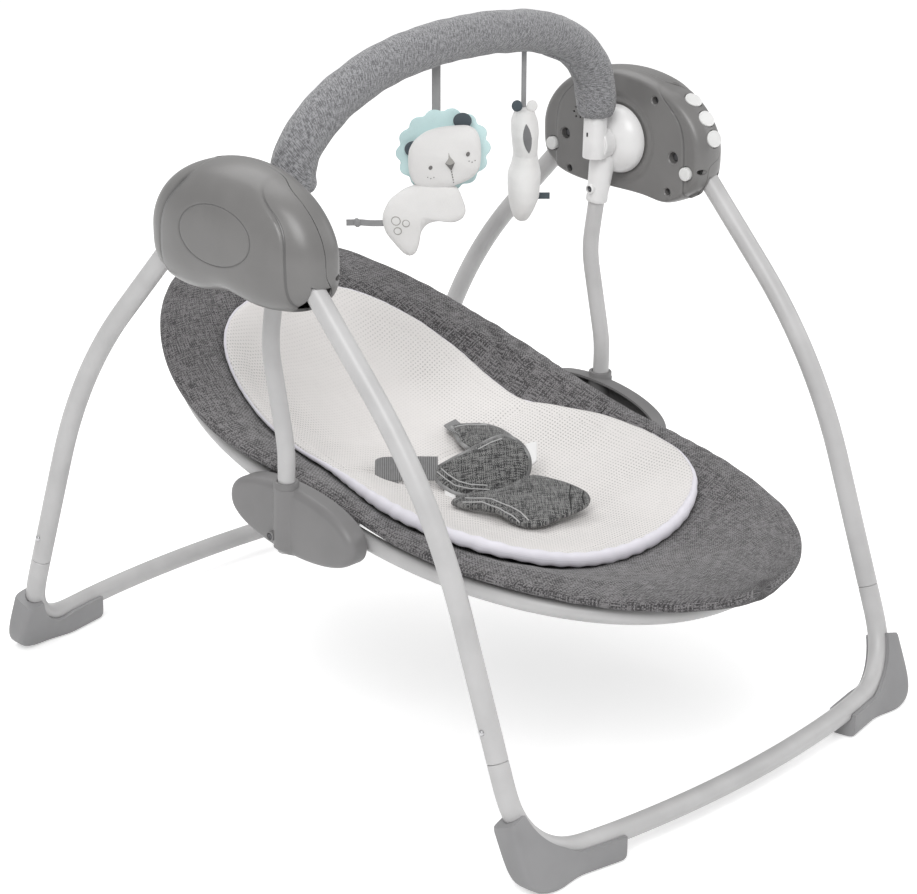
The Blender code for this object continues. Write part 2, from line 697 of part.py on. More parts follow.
# Power inlet
# A round jack in the bottom of the right inner shell, with its pin in the middle.
INLET_X = HUB_PART - 0.0117
INLET_Y = 0.030
INLET_R = 0.0052
INLET_BORE = 0.0031
INLET_PIN = 0.0010
INLET_DEPTH = 0.0090
inlet_low = HUB_Z - hub_bottom(INLET_X, INLET_Y) * hub_scale(INLET_X) + 0.0003
inlet_floor = inlet_low + HUB_WALL + 0.0008
inlet_profile = [
    (inlet_low, INLET_R),
    (inlet_floor, INLET_R),
    (inlet_floor, INLET_R + 0.0015),
    (inlet_floor + 0.0015, INLET_R + 0.0015),
    (inlet_floor + 0.0015, INLET_R),
    (inlet_low + INLET_DEPTH + 0.003, INLET_R),
]
loops = [circle((INLET_X, INLET_Y, z), (0, 0, 1), r, 12) for z, r in reversed(inlet_profile)]
for z, r in (
    (inlet_low, INLET_BORE),
    (inlet_low + INLET_DEPTH, INLET_BORE),
    (inlet_low + INLET_DEPTH, INLET_PIN),
    (inlet_low + 0.0012, INLET_PIN),
):
    loops.append(circle((INLET_X, INLET_Y, z), (0, 0, 1), r, 12))
solid("power_inlet", loops, (BLACK, 0.45))
inlet_start = (INLET_X, INLET_Y, inlet_low - 0.006)
inlet_end = (INLET_X, INLET_Y, inlet_low + HUB_WALL + 0.0045)
inlet_hole = rod("inlet_hole", inlet_start, inlet_end, INLET_R + GAP, sides=12)
inlet_room = rod("inlet_room", (INLET_X, INLET_Y, inlet_floor - GAP), inlet_end, INLET_R + 0.002, sides=12)
cut(inner_shells[1], inlet_hole, inlet_room)


# Hanger caps, tubes and screws
# A white domed cap turns on its journal in each hub and grips the top of a hanger tube.
BEND_TOP_Y = 0.0038
BEND_HIGH = (0.0166, 0.3875)
BEND_LOW = (-0.0030, 0.2945)


def hanger_point(z):
    """The (y, z) place on the tube's top straight run."""
    slope = (BEND_HIGH[0] - BEND_TOP_Y) / (HANGER_TOP_Z - BEND_HIGH[1])
    return BEND_HIGH[0] - slope * (z - BEND_HIGH[1]), z


for side_name, side in SIDES.items():
    out = OUTWARD * side
    axle = Vector((0, 0, AXLE_Z))
    base_x = HUB_IN - GAP
    profile = [(base_x, CAP_R)]
    for share in (0.35, 0.65, 0.88):
        profile.append((base_x - CAP_DEPTH * share, CAP_R * sqrt(1 - share**2) * 0.98 + 0.0007))
    profile.append((base_x - CAP_DEPTH, 0.0105))
    journal_end = HUB_IN + JOURNAL_RUN
    loops = [circle(axle + out * journal_end, out, JOURNAL_R), circle(axle + out * base_x, out, JOURNAL_R)]
    loops += [circle(axle + out * x, out, r) for x, r in profile]
    stub_end = BAR_HALF_SPAN - 0.003
    loops.append(circle(axle + out * (base_x - CAP_DEPTH), out, STUB_R))
    loops.append(circle(axle + out * stub_end, out, STUB_R))
    name = side_name + "_hanger_cap"
    cap = solid(name, loops, (WHITE_PLASTIC, 0.35), swing)
    top = Vector((side * HANGER_X, *hanger_point(0.4785)))
    low = Vector((side * HANGER_X, *hanger_point(SLEEVE_END_Z)))
    way = (low - top).normalized()
    length = (low - top).length
    sleeve_profile = [(-0.0035, SLEEVE_R * 0.6), (0, SLEEVE_R), (length, SLEEVE_R)]
    sleeve = turned(side_name + "_sleeve", top, way, sleeve_profile, sides=16)
    bore_start = Vector((side * HANGER_X, *hanger_point(HANGER_TOP_Z + GAP)))
    sleeve_bore = rod(side_name + "_sleeve_bore", bore_start, low + way * 0.01, HANGER_R + GAP, sides=10)
    weld(cap, sleeve)
    cut(cap, sleeve_bore)
    spot = Vector((side * HANGER_X, *hanger_point(HANGER_SCREW_Z)))
    inboard = -out
    screw_hole = rod(side_name + "_cap_screw_hole", spot, spot + inboard * 0.02, 0.0021, sides=10)
    room_ends = spot + inboard * 0.0103, spot + inboard * 0.02
    head_room = rod(side_name + "_cap_screw_room", *room_ends, 0.0038, sides=10)
    cut(cap, screw_hole, head_room)
    path = rounded(
        [
            Vector((side * HANGER_X, *hanger_point(HANGER_TOP_Z))),
            Vector((side * HANGER_X, *BEND_HIGH)),
            Vector((side * HANGER_X, *BEND_LOW)),
            Vector((side * HANGER_X, 0, HANGER_END_Z)),
        ],
        0.075,
        2,
    )
    name = side_name + "_hanger_tube"
    hanger = tube(name, path, HANGER_R, HANGER_R - HANGER_WALL, (TUBE_PAINT, 0.35), swing)
    cut(hanger, screw_hole)
    screw_profile = [(0.0040, 0.0018), (0.0106, 0.0018), (0.0106, 0.0035), (0.0118, 0.0035), (0.0126, 0.0024)]
    turned(side_name + "_hanger_screw", spot, inboard, screw_profile, (STEEL, 0.3, 1.0), swing, sides=10)


# Side brackets
# The cover takes the hanger tube's lower end in its boss. The plate holds the seat's tubes and
# turns on the cover's boss when the seat is set more upright.
def bracket_loop(side, x, long, high):
    points = []
    for k in range(16):
        a = 2 * pi * (k + 0.5) / 16
        u, v = long * cos(a), high * abs(sin(a)) ** 0.85 * (1 if sin(a) > 0 else -1)
        y = BRACKET_Y + u * cos(BRACKET_TILT) - v * sin(BRACKET_TILT)
        z = BRACKET_Z + u * sin(BRACKET_TILT) + v * cos(BRACKET_TILT)
        points.append((side * x, y, z))
    return points


def ring_z(y):
    """Height of the seat's ring tubes along the seat."""
    return SEAT_Z + SEAT_SLOPE * y + SEAT_CURVE * y**2 + SEAT_LIFT * y**3


def ring_place(side, y):
    return Vector((side * RING_X, y, ring_z(y)))


SOCKET_SPAN = {"front": (-0.0140, -0.0550), "back": (0.0140, 0.0520)}
TUBE_IN_SOCKET = 0.0050
for side_name, side in SIDES.items():
    out = OUTWARD * side
    loops = [
        bracket_loop(side, BRACKET_IN, BRACKET_LONG, BRACKET_HIGH),
        bracket_loop(side, BRACKET_OUT - 0.0060, BRACKET_LONG, BRACKET_HIGH),
        bracket_loop(side, BRACKET_OUT - 0.0015, BRACKET_LONG - 0.0035, BRACKET_HIGH - 0.0035),
        bracket_loop(side, BRACKET_OUT, BRACKET_LONG - 0.0085, BRACKET_HIGH - 0.0085),
        bracket_loop(side, BRACKET_OUT - BRACKET_WALL, BRACKET_LONG - 0.0095, BRACKET_HIGH - 0.0095),
        bracket_loop(side, BRACKET_OUT - 0.0065, BRACKET_LONG - BRACKET_WALL, BRACKET_HIGH - BRACKET_WALL),
        bracket_loop(side, BRACKET_IN, BRACKET_LONG - BRACKET_WALL, BRACKET_HIGH - BRACKET_WALL),
    ]
    cup = loops[3::-1] + loops[:3:-1]
    cover = solid(side_name + "_bracket_cover", cup, (GREY_PLASTIC, 0.45), swing, sharp=35)
    boss_top = (side * HANGER_X, -0.0008, BRACKET_Z + BOSS_ABOVE)
    boss_low = (side * HANGER_X, 0, HANGER_END_Z - BOSS_FLOOR)
    boss = rod(side_name + "_bracket_boss", boss_top, boss_low, 0.0118, sides=12)
    plate_x = BRACKET_IN - GAP - PLATE_THICK
    pin_start = Vector((side * (plate_x - GAP), 0, BRACKET_Z))
    pin_end = Vector((side * (HANGER_X - 0.009), 0, BRACKET_Z))
    pin = rod(side_name + "_recline_pin", pin_start, pin_end, RECLINE_R, sides=16)
    tube_end = Vector((side * HANGER_X, 0, HANGER_END_Z))
    tube_way = (Vector((side * HANGER_X, *BEND_LOW)) - tube_end).normalized()
    tube_low, tube_high = tube_end - tube_way * GAP, tube_end + tube_way * 0.085
    boss_bore = rod(side_name + "_boss_bore", tube_low, tube_high, HANGER_R + GAP, sides=10)
    weld(cover, boss, pin)
    cut(cover, boss_bore)
    loops = [
        bracket_loop(side, BRACKET_IN - GAP, PLATE_LONG, PLATE_HIGH),
        bracket_loop(side, plate_x, PLATE_LONG, PLATE_HIGH),
    ]
    plate = solid(side_name + "_bracket_plate", loops, (GREY_PLASTIC, 0.45), seat, sharp=35)
    pin_hole = rod(side_name + "_recline_hole", pin_start - out * 0.01, pin_end, RECLINE_R + GAP, sides=16)
    for name, (near, far) in SOCKET_SPAN.items():
        socket = rod(
            f"{side_name}_{name}_socket", ring_place(side, near), ring_place(side, far), SOCKET_R, sides=12
        )
        weld(plate, socket)
    cut(plate, pin_hole)
    for name, (near, far) in SOCKET_SPAN.items():
        sign = 1 if far > near else -1
        start = ring_place(side, near + sign * (TUBE_IN_SOCKET - GAP))
        way = (ring_place(side, far) - ring_place(side, near)).normalized()
        tube_bore = rod(f"{side_name}_{name}_bore", start, start + way * 0.06, RING_R + GAP, sides=10)
        cut(plate, tube_bore)


# Seat ring tubes
# Two bows, one round the feet and one round the head, each plugged into both plates.
def bow_path(sign, reach, mouth):
    """Half-turn bow from the left socket to the right one."""
    near, far = mouth
    start = near + sign * TUBE_IN_SOCKET
    bend = far + sign * 0.012
    half = []
    for k in range(6):
        t = (pi / 2) * k / 5
        x = RING_X * cos(t) ** (2 / SEAT_ROUND)
        y = bend + sign * (reach - abs(bend)) * sin(t) ** (2 / SEAT_ROUND)
        half.append((x, y))
    right = [(RING_X, start), (RING_X, far)] + half
    left = [(-x, y) for x, y in reversed(right[:-1])]
    return [Vector((x, y, ring_z(y))) for x, y in right + left]


RING_LOOK = (TUBE_PAINT, 0.35)
front_bow = bow_path(-1, RING_FRONT, SOCKET_SPAN["front"])
back_bow = bow_path(1, RING_BACK, SOCKET_SPAN["back"])
tube("seat_front_tube", front_bow, RING_R, RING_R - RING_WALL, RING_LOOK, seat, upright=UPWARD)
tube("seat_back_tube", back_bow, RING_R, RING_R - RING_WALL, RING_LOOK, seat, upright=UPWARD)


# Seat cloth
# A padded sling with a thick hem over the tubes, sunk in the middle.
BACK_CENTRE = 0.060
PINCH = 0.0120
PINCH_Y = -0.030
HEM_LIFT = 0.0060
BACK_HEM = 0.078


def seat_half_width(y):
    if y < 0:
        share = min(1.0, abs(y) / SEAT_FRONT)
    else:
        share = min(1.0, max(0.0, y - BACK_CENTRE) / (SEAT_BACK - BACK_CENTRE))
    pinch = PINCH * exp(-(((y - PINCH_Y) / 0.09) ** 2))
    return (SEAT_HALF_W - pinch) * max(0.0, 1 - share**SEAT_ROUND) ** (1 / SEAT_ROUND)


def seat_share(x, y):
    """0 at the seat's middle, 1 on its outline."""
    if y < 0:
        run = abs(y) / SEAT_FRONT
    else:
        run = max(0.0, y - BACK_CENTRE) / (SEAT_BACK - BACK_CENTRE)
    return ((abs(x) / SEAT_HALF_W) ** SEAT_ROUND + run**SEAT_ROUND) ** (1 / SEAT_ROUND)


def sling_z(x, y):
    """Middle surface of the sling."""
    hem = ring_z(y) + RING_R + GAP + HEM_R + HEM_LIFT * exp(-((y / 0.08) ** 2))
    back = min(1.0, max(0.0, (y - 0.050) / 0.130))
    inside = seat_share(x, y) / (1 - HEM_WIDTH - BACK_HEM * back**2 * (3 - 2 * back))
    return hem - SEAT_DEPTH * max(0.0, 1 - inside**2) ** 1.2


def sling_half(x, y):
    """Half the sling's thickness: thin in the middle, thick at the hem."""
    share = min(1.0, seat_share(x, y))
    return SLING_R + (HEM_R - SLING_R) * share**5


def padded(name, rows, top, bottom, look, body, across=24):
    """A padded solid over rows (y, half width): loops go over the top and back below."""
    loops = []
    for y, half in rows:
        loop = []
        for k in range(across):
            a = 2 * pi * (k + 0.5) / across
            even = 1 - 2 * a / pi if a < pi else 2 * a / pi - 3
            x = half * 0.99 * (cos(a) + even) / (cos(pi / across) + 1 - 2 / across)
            fill = (1 - (x / half) ** 2) ** 0.25
            loop.append((x, y, top(x, y, fill) if sin(a) > 0 else bottom(x, y, fill)))
        loops.append(loop)
    return solid(name, loops, look, body, sharp=60)


seat_rows = []
for k in range(18):
    t = -1 + 2 * (k + 0.12) / 17.24
    middle, reach = (SEAT_BACK - SEAT_FRONT) / 2, (SEAT_BACK + SEAT_FRONT) / 2
    y = middle + reach * (0.5 * sin(t * pi / 2) + 0.5 * t)
    seat_rows.append((y, max(0.012, seat_half_width(y))))
padded(
    "seat_cover",
    seat_rows,
    lambda x, y, fill: sling_z(x, y) + sling_half(x, y) * fill,
    lambda x, y, fill: sling_z(x, y) - sling_half(x, y) * fill,
    (DARK_CLOTH, 0.9),
    seat,
    22,
)

# Seat insert
# The white mesh cushion, drawn in at the waist, with a channel at the hips. Its outline is given as
# shares of the seat: y of the front or back reach, and the half-width of the seat's.
INSERT_SHARES = (
    (-0.6211, 0.0983), (-0.6026, 0.3342), (-0.5605, 0.5307), (-0.5000, 0.6781),
    (-0.4079, 0.7715), (-0.2763, 0.8059), (-0.1447, 0.7813), (-0.0263, 0.7076),
    (0.0962, 0.6388), (0.2404, 0.6600), (0.3846, 0.6680), (0.5288, 0.6200),
    (0.6410, 0.5350), (0.7115, 0.4400), (0.7660, 0.3100), (0.7980, 0.1229),
)
HIP_Y = 0.025


def insert_top(x, y, fill):
    crown = 2 * INSERT_R * (1 - 0.35 * exp(-(((y - HIP_Y) / 0.018) ** 2)))
    return sling_z(x, y) + sling_half(x, y) + SOFT_GAP + 0.25 * INSERT_R + crown * fill * 0.9


def insert_bottom(x, y, fill):
    return sling_z(x, y) + sling_half(x, y) + SOFT_GAP + 0.25 * INSERT_R * (1 - fill)


insert_rows = [(y * (SEAT_FRONT if y < 0 else SEAT_BACK), half * SEAT_HALF_W) for y, half in INSERT_SHARES]
padded("seat_insert", insert_rows, insert_top, insert_bottom, (MESH_CLOTH, 0.85), seat, 22)


# Harness
# Leaf-shaped waist pads, a crotch pad and the buckle between them.
def pillow(name, outline, centre, along, across, thick, look, body, rings=(1.0, 0.84, 0.5)):
    """A stuffed flat shape: its outline, shrunk and raised ring by ring on both faces."""
    along, across = Vector(along).normalized(), Vector(across).normalized()
    across = (across - along * across.dot(along)).normalized()
    normal = along.cross(across)
    middle = Vector(centre)
    loops = []
    for face in (-1, 1):
        order = reversed(rings) if face < 0 else rings[1:]
        for share in order:
            rise = face * thick / 2 * sqrt((1 - share**2) / (1 - rings[-1] ** 2))
            loops.append([middle + (along * u + across * v) * share + normal * rise for u, v in outline])
    return solid(name, loops, look, body, sharp=60)


# Outlines of the pads, along their length and across it, from their middles
LEFT_PAD = (
    (-0.052, -0.003), (-0.043, 0.003), (-0.032, 0.010), (-0.019, 0.017), (-0.007, 0.024), (0.005, 0.031),
    (0.017, 0.036), (0.029, 0.032), (0.038, 0.023), (0.043, 0.012), (0.043, -0.001), (0.038, -0.013),
    (0.029, -0.022), (0.016, -0.028), (0.000, -0.030), (-0.016, -0.029), (-0.032, -0.025), (-0.045, -0.016),
)
RIGHT_PAD = (
    (-0.032, 0.017), (-0.020, 0.020), (-0.008, 0.021), (0.004, 0.020), (0.016, 0.014), (0.027, 0.004),
    (0.034, -0.009), (0.031, -0.022), (0.018, -0.029), (0.003, -0.027), (-0.011, -0.020), (-0.022, -0.008),
    (-0.028, 0.006),
)
CROTCH_PAD = (
    (-0.071, -0.003), (-0.059, 0.009), (-0.039, 0.012), (-0.020, 0.017), (-0.006, 0.028), (0.009, 0.040),
    (0.024, 0.036), (0.042, 0.028), (0.058, 0.018), (0.066, 0.008), (0.064, -0.005), (0.052, -0.015),
    (0.036, -0.025), (0.020, -0.035), (0.004, -0.038), (-0.010, -0.031), (-0.020, -0.019), (-0.034, -0.011),
    (-0.055, -0.010),
)


PAD_LOOK = (DARK_CLOTH, 0.9)
WEB_HALF = 0.0110
WEB_THICK = 0.0016


def webbing(name, path, across):
    """A flat strap along a path, its width lying along across."""
    path = [Vector(p) for p in path]
    across = Vector(across).normalized()
    loops = []
    for point, way in zip(path, tangents(path)):
        up = way.cross(across).normalized()
        corners = [(-1, -1), (1, -1), (1, 1), (-1, 1)]
        loops.append([point + across * WEB_HALF * a + up * WEB_THICK / 2 * b for a, b in corners])
    return solid(name, loops)


PADS_ALONG = (0.696, -0.718, 0)
left_at, left_across = Vector((-0.0016, -0.0476, 0.2293)), (0.508, 0.492, 0.707)
left_pad = pillow("left_waist_pad", LEFT_PAD, left_at, PADS_ALONG, left_across, 0.013, PAD_LOOK, seat)
route = [(-0.028, -0.0245, 0.2265), (-0.052, -0.010, 0.2262), (-0.078, 0.002, 0.2290)]
weld(left_pad, webbing("left_web", route, (0.3, 1, 0)))
right_at, right_across = Vector((0.0574, 0.0118, 0.2287)), (0.675, 0.654, 0.342)
right_pad = pillow("right_waist_pad", RIGHT_PAD, right_at, PADS_ALONG, right_across, 0.012, PAD_LOOK, seat)
route = [(0.0530, 0.0300, 0.2320), (0.0500, 0.0440, 0.2345), (0.0560, 0.0560, 0.2342)]
weld(right_pad, webbing("right_web", route, (1, 0.2, 0)))
crotch_at, crotch_across = Vector((-0.0102, -0.1037, 0.2142)), (0.683, 0.662, 0.309)
pillow("crotch_pad", CROTCH_PAD, crotch_at, PADS_ALONG, crotch_across, 0.014, PAD_LOOK, seat)
block("harness_buckle", (0.010, -0.048, 0.2146), (0.056, -0.0245, 0.2230), (WHITE_PLASTIC, 0.4), seat)


# Toy bar
# A steel rod in a padded sleeve, plugged into a clip at each end that turns on the cap's stub.
BAR_ROUND = 2.6
BAR_STRAIGHT = 0.006
BAR_SIDES = 10
BAR_BASE = CLIP_TOP_Z + GAP


def bar_path(count=13):
    """Centre line from the right clip up and over to the left one."""
    points = [Vector((BAR_HALF_SPAN, 0, BAR_BASE))]
    for k in range(count):
        t = pi * k / (count - 1)
        c, s = cos(t), abs(sin(t))
        x = BAR_HALF_SPAN * abs(c) ** (2 / BAR_ROUND) * (1 if c >= 0 else -1)
        z = BAR_BASE + BAR_STRAIGHT + (BAR_RISE - BAR_STRAIGHT) * s ** (2 / BAR_ROUND)
        points.append(Vector((x, 0, z)))
    points.append(Vector((-BAR_HALF_SPAN, 0, BAR_BASE)))
    return points


arch = bar_path()
lower = [Vector((s * BAR_HALF_SPAN, 0, CLIP_TOP_Z - 0.012)) for s in (1, -1)]
ROD_ROOM = ROD_R + 0.0008
tube("toy_bar_cover", arch, BAR_R, ROD_ROOM, (JERSEY, 0.95), toy_bar, sides=BAR_SIDES)
tube("toy_bar_rod", [lower[0]] + arch + [lower[1]], ROD_R, None, (STEEL, 0.35, 1.0), toy_bar, sides=8)
for side_name, side in SIDES.items():
    start = Vector((side * (HANGER_X - GAP), 0, AXLE_Z))
    end = start - OUTWARD * side * CLIP_WIDTH
    clip = rod(side_name + "_toy_bar_clip", start, end, CLIP_R, (WHITE_PLASTIC, 0.35), toy_bar)
    neck_low = (side * BAR_HALF_SPAN, 0, AXLE_Z - CLIP_BELOW)
    neck_profile = [(0, CLIP_FOOT_R), (CLIP_TOP_Z - AXLE_Z + CLIP_BELOW, CLIP_NECK_R)]
    neck = turned(side_name + "_clip_neck", neck_low, UPWARD, neck_profile)
    stub_bore_end = Vector((side * (BAR_HALF_SPAN - 0.003 - GAP), 0, AXLE_Z))
    stub_bore = rod(side_name + "_clip_bore", start + OUTWARD * side * 0.01, stub_bore_end, STUB_R + GAP)
    rod_bore = rod(
        side_name + "_rod_bore",
        (side * BAR_HALF_SPAN, 0, CLIP_TOP_Z - 0.012 - GAP),
        (side * BAR_HALF_SPAN, 0, CLIP_TOP_Z + 0.01),
        ROD_R + GAP,
        sides=8,
    )
    weld(clip, neck)
    cut(clip, stub_bore, rod_bore)


# Hanging toys
# Two flat plush animals on ribbons. Each has its own plane: right and up, and its facing way.
RIBBON_HALF = 0.0040
RIBBON_THICK = 0.0012


def bar_low(x):
    """Height of the padded bar's underside over a ribbon's width at x."""
    low = []
    for right, left in zip(arch, arch[1:]):
        for edge in (x - 0.75 * RIBBON_HALF, x + 0.75 * RIBBON_HALF):
            if left.x <= edge <= right.x and right.x > left.x:
                slope = (right.z - left.z) / (right.x - left.x)
                flat = BAR_R * cos(pi / BAR_SIDES)
                low.append(left.z + slope * (edge - left.x) - flat * sqrt(1 + slope**2))
    return min(low)


TWIST = radians(44)
FACING = Vector((-sin(TWIST), -cos(TWIST), 0))
SIDEWAYS = Vector((cos(TWIST), -sin(TWIST), 0))


def blob(long, wide, tilt, centre, count, lobes=0, depth=0.0, power=1.0):
    """A tilted oval, or a scalloped one."""
    points = []
    for k in range(count):
        a = 2 * pi * (k + 0.5) / count
        grow = 1 + depth * abs(sin(lobes * a / 2)) if lobes else 1
        u = long * grow * abs(cos(a)) ** power * (1 if cos(a) > 0 else -1)
        v = wide * grow * abs(sin(a)) ** power * (1 if sin(a) > 0 else -1)
        points.append((centre[0] + u * cos(tilt) - v * sin(tilt), centre[1] + u * sin(tilt) + v * cos(tilt)))
    return points


LION_X = -0.0200
LION_TOP = 0.5665
BEAR_X = 0.0970
BEAR_TOP = 0.5565
MANE_THICK = 0.0060
MANE_DEPTH = -GAP - MANE_THICK / 2


def ribbon_top(x, depth):
    """The middle of a ribbon's top edge, just under the padded bar. The toy swings about it."""
    spot = Vector((x, 0, 0)) + FACING * depth
    return Vector((spot.x, spot.y, bar_low(spot.x) - GAP))


lion_top, bear_top = ribbon_top(LION_X, MANE_DEPTH), ribbon_top(BEAR_X, 0.0)
lion = frame_at("lion_axis", lion_top, toy_bar)
bear = frame_at("bear_axis", bear_top, toy_bar)


def ribbon(name, top, low):
    """The ribbon that a toy hangs on, tapered at its top and sewn into the piece that it is welded to."""
    corners = [(-1, -1), (1, -1), (1, 1), (-1, 1)]
    loops = []
    for z, share in ((low, 1.0), (top.z - 0.0010, 1.0), (top.z, 0.35)):
        middle = Vector((top.x, top.y, z))
        deep = FACING * RIBBON_THICK / 2 * share
        loops.append([middle + SIDEWAYS * RIBBON_HALF * a + deep * b for a, b in corners])
    return solid(name, loops)


def plush(name, shape, middle, x, top, depth, thick, right, facing, colour, body):
    """A stuffed flat piece, its outline given from the ribbon's lower end."""
    centre = Vector((x, 0, top)) + right * middle[0] + UPWARD * middle[1] + facing * depth
    outline = [(u - middle[0], v - middle[1]) for u, v in shape]
    return pillow(name, outline, centre, right, UPWARD, thick, (colour, 0.9) if colour else None, body)


mane_mid, head_mid, body_mid = (0.0065, -0.0335), (0.0080, -0.0370), (-0.0140, -0.0880)
MANE_TILT = radians(15)
mane = blob(0.0400, 0.0360, MANE_TILT, mane_mid, 28, 14, 0.10)
head = blob(0.0330, 0.0285, MANE_TILT, head_mid, 20)
torso = [
    (0.006, -0.058), (0.0200, -0.064), (0.0235, -0.0735), (0.0275, -0.085), (0.026, -0.092),
    (0.018, -0.097), (0.004, -0.0945), (-0.008, -0.097), (-0.0145, -0.105), (-0.0155, -0.1155),
    (-0.0185, -0.126), (-0.025, -0.130), (-0.032, -0.125), (-0.0390, -0.1165), (-0.0475, -0.106),
    (-0.0505, -0.0905), (-0.0440, -0.0760), (-0.0300, -0.065), (-0.0100, -0.058),
]
HEAD_THICK = 0.0270
BODY_THICK = 0.0260


def plump(shape, middle, grow):
    """The same outline, grown about its middle."""
    return [(middle[0] + (u - middle[0]) * grow, middle[1] + (v - middle[1]) * grow) for u, v in shape]


ROOM = 1.025
lion_at = (LION_X, LION_TOP)
mane = plush(
    "lion_mane", mane, mane_mid, *lion_at, MANE_DEPTH, MANE_THICK, SIDEWAYS, FACING, AQUA, lion
)
weld(mane, ribbon("lion_ribbon", lion_top, LION_TOP - 0.012))
seen = SIDEWAYS, FACING
plush("lion_head", head, head_mid, *lion_at, HEAD_THICK / 2, HEAD_THICK, *seen, PLUSH, lion)
torso = plush("lion_body", torso, body_mid, *lion_at, BODY_THICK / 2, BODY_THICK, *seen, PLUSH, lion)
head_room = plump(head, head_mid, ROOM)
head_room = plush(
    "lion_head_room", head_room, head_mid, *lion_at, HEAD_THICK / 2, HEAD_THICK * ROOM, *seen, None, lion
)
cut(torso, head_room)
bear_head_mid, bear_body_mid = (0.0, -0.0290), (0.0030, -0.0780)
bear_head = blob(0.0300, 0.0265, 0.0, bear_head_mid, 20)
bear_torso = blob(0.0330, 0.0330, 0.0, bear_body_mid, 20, power=0.9)
bear_at = (BEAR_X, BEAR_TOP)
head = plush("bear_head", bear_head, bear_head_mid, *bear_at, 0.0, 0.0240, FACING, SIDEWAYS, PLUSH, bear)
weld(head, ribbon("bear_ribbon", bear_top, BEAR_TOP - 0.010))
torso = plush("bear_body", bear_torso, bear_body_mid, *bear_at, 0.0, 0.0290, FACING, SIDEWAYS, PLUSH, bear)
head_room = plump(bear_head, bear_head_mid, ROOM)
head_room = plush(
    "bear_head_room", head_room, bear_head_mid, *bear_at, 0.0, 0.0240 * ROOM, FACING, SIDEWAYS, None, bear
)
cut(torso, head_room)
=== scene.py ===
"""Portable electric baby swing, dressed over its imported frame.

Metres, +Z up, floor at z = 0. -Y is the foot end of the seat, and the controls are on the +X hub.
"""

from math import cos, pi, radians, sin, sqrt, tan

import bpy
import numpy as np
from mathutils import Matrix, Vector


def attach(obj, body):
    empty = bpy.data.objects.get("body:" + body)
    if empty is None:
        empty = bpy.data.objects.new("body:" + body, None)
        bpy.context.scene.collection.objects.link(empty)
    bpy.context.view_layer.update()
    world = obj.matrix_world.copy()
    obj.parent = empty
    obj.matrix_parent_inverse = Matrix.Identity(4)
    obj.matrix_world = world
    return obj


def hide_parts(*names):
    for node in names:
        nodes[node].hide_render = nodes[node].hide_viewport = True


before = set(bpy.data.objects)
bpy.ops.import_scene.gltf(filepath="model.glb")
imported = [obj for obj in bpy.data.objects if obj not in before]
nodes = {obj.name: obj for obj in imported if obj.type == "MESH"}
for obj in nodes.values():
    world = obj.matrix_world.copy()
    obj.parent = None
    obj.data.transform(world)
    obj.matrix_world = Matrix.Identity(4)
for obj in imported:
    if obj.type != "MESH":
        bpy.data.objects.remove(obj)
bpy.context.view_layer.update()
SIDES = {"left": -1, "right": 1}
ENDS = {"front": -1, "rear": 1}


# Viewpoint and room
# The camera stands where the photograph was taken from. The floor is a sheet of white studio paper,
# and the light is one broad box above the camera's left, a weaker one on the right and a white room.
camera = bpy.data.objects.new("viewpoint", bpy.data.cameras.new("viewpoint"))
bpy.context.scene.collection.objects.link(camera)
azimuth, elevation, roll = radians(-45.90217), radians(20.68833), radians(0.21407)
back = Vector((sin(azimuth) * cos(elevation), -cos(azimuth) * cos(elevation), sin(elevation)))
right = Vector((cos(azimuth), sin(azimuth), 0))
above = back.cross(right)
turned_right = right * cos(roll) + above * sin(roll)
turned_above = above * cos(roll) - right * sin(roll)
standing = Vector((-1.7355692, -1.6921361, 1.1538250))
axes = Matrix((turned_right, turned_above, back)).transposed()
camera.matrix_world = Matrix.Translation(standing) @ axes.to_4x4()
camera.data.lens = 106.143
camera.data.sensor_width = 36
camera.data.clip_start = 0.05
camera.data.clip_end = 60
bpy.context.scene.camera = camera

PAPER_HALF, PAPER_Z, PAPER_WHITE = 9, -0.0005, 0.50
paper_mesh = bpy.data.meshes.new("paper")
corners = [(x * PAPER_HALF, y * PAPER_HALF, PAPER_Z) for x, y in ((-1, -1), (1, -1), (1, 1), (-1, 1))]
paper_mesh.from_pydata(corners, [], [(0, 1, 2, 3)])
paper = bpy.data.objects.new("paper", paper_mesh)
bpy.context.scene.collection.objects.link(paper)
paper_look = bpy.data.materials.new("studio_paper")
paper_look.use_nodes = True
paper_mesh.materials.append(paper_look)
paper_shader = paper_look.node_tree.nodes["Principled BSDF"]
paper_shader.inputs["Base Color"].default_value = (0.88, 0.88, 0.88, 1)
paper_shader.inputs["Roughness"].default_value = 0.9
paper_shader.inputs["Emission Strength"].default_value = 1.0
paper_rays = paper_look.node_tree.nodes.new("ShaderNodeLightPath")
paper_glow = paper_look.node_tree.nodes.new("ShaderNodeMix")
paper_glow.data_type = "RGBA"
paper_glow.inputs[6].default_value = (0, 0, 0, 1)
paper_glow.inputs[7].default_value = (PAPER_WHITE, PAPER_WHITE, PAPER_WHITE, 1)
seen = paper_rays.outputs["Is Camera Ray"]
for ray in ("Is Glossy Ray", "Is Transmission Ray"):
    both = paper_look.node_tree.nodes.new("ShaderNodeMath")
    both.operation = "MAXIMUM"
    paper_look.node_tree.links.new(seen, both.inputs[0])
    paper_look.node_tree.links.new(paper_rays.outputs[ray], both.inputs[1])
    seen = both.outputs[0]
paper_look.node_tree.links.new(seen, paper_glow.inputs[0])
paper_look.node_tree.links.new(paper_glow.outputs[2], paper_shader.inputs["Emission Color"])

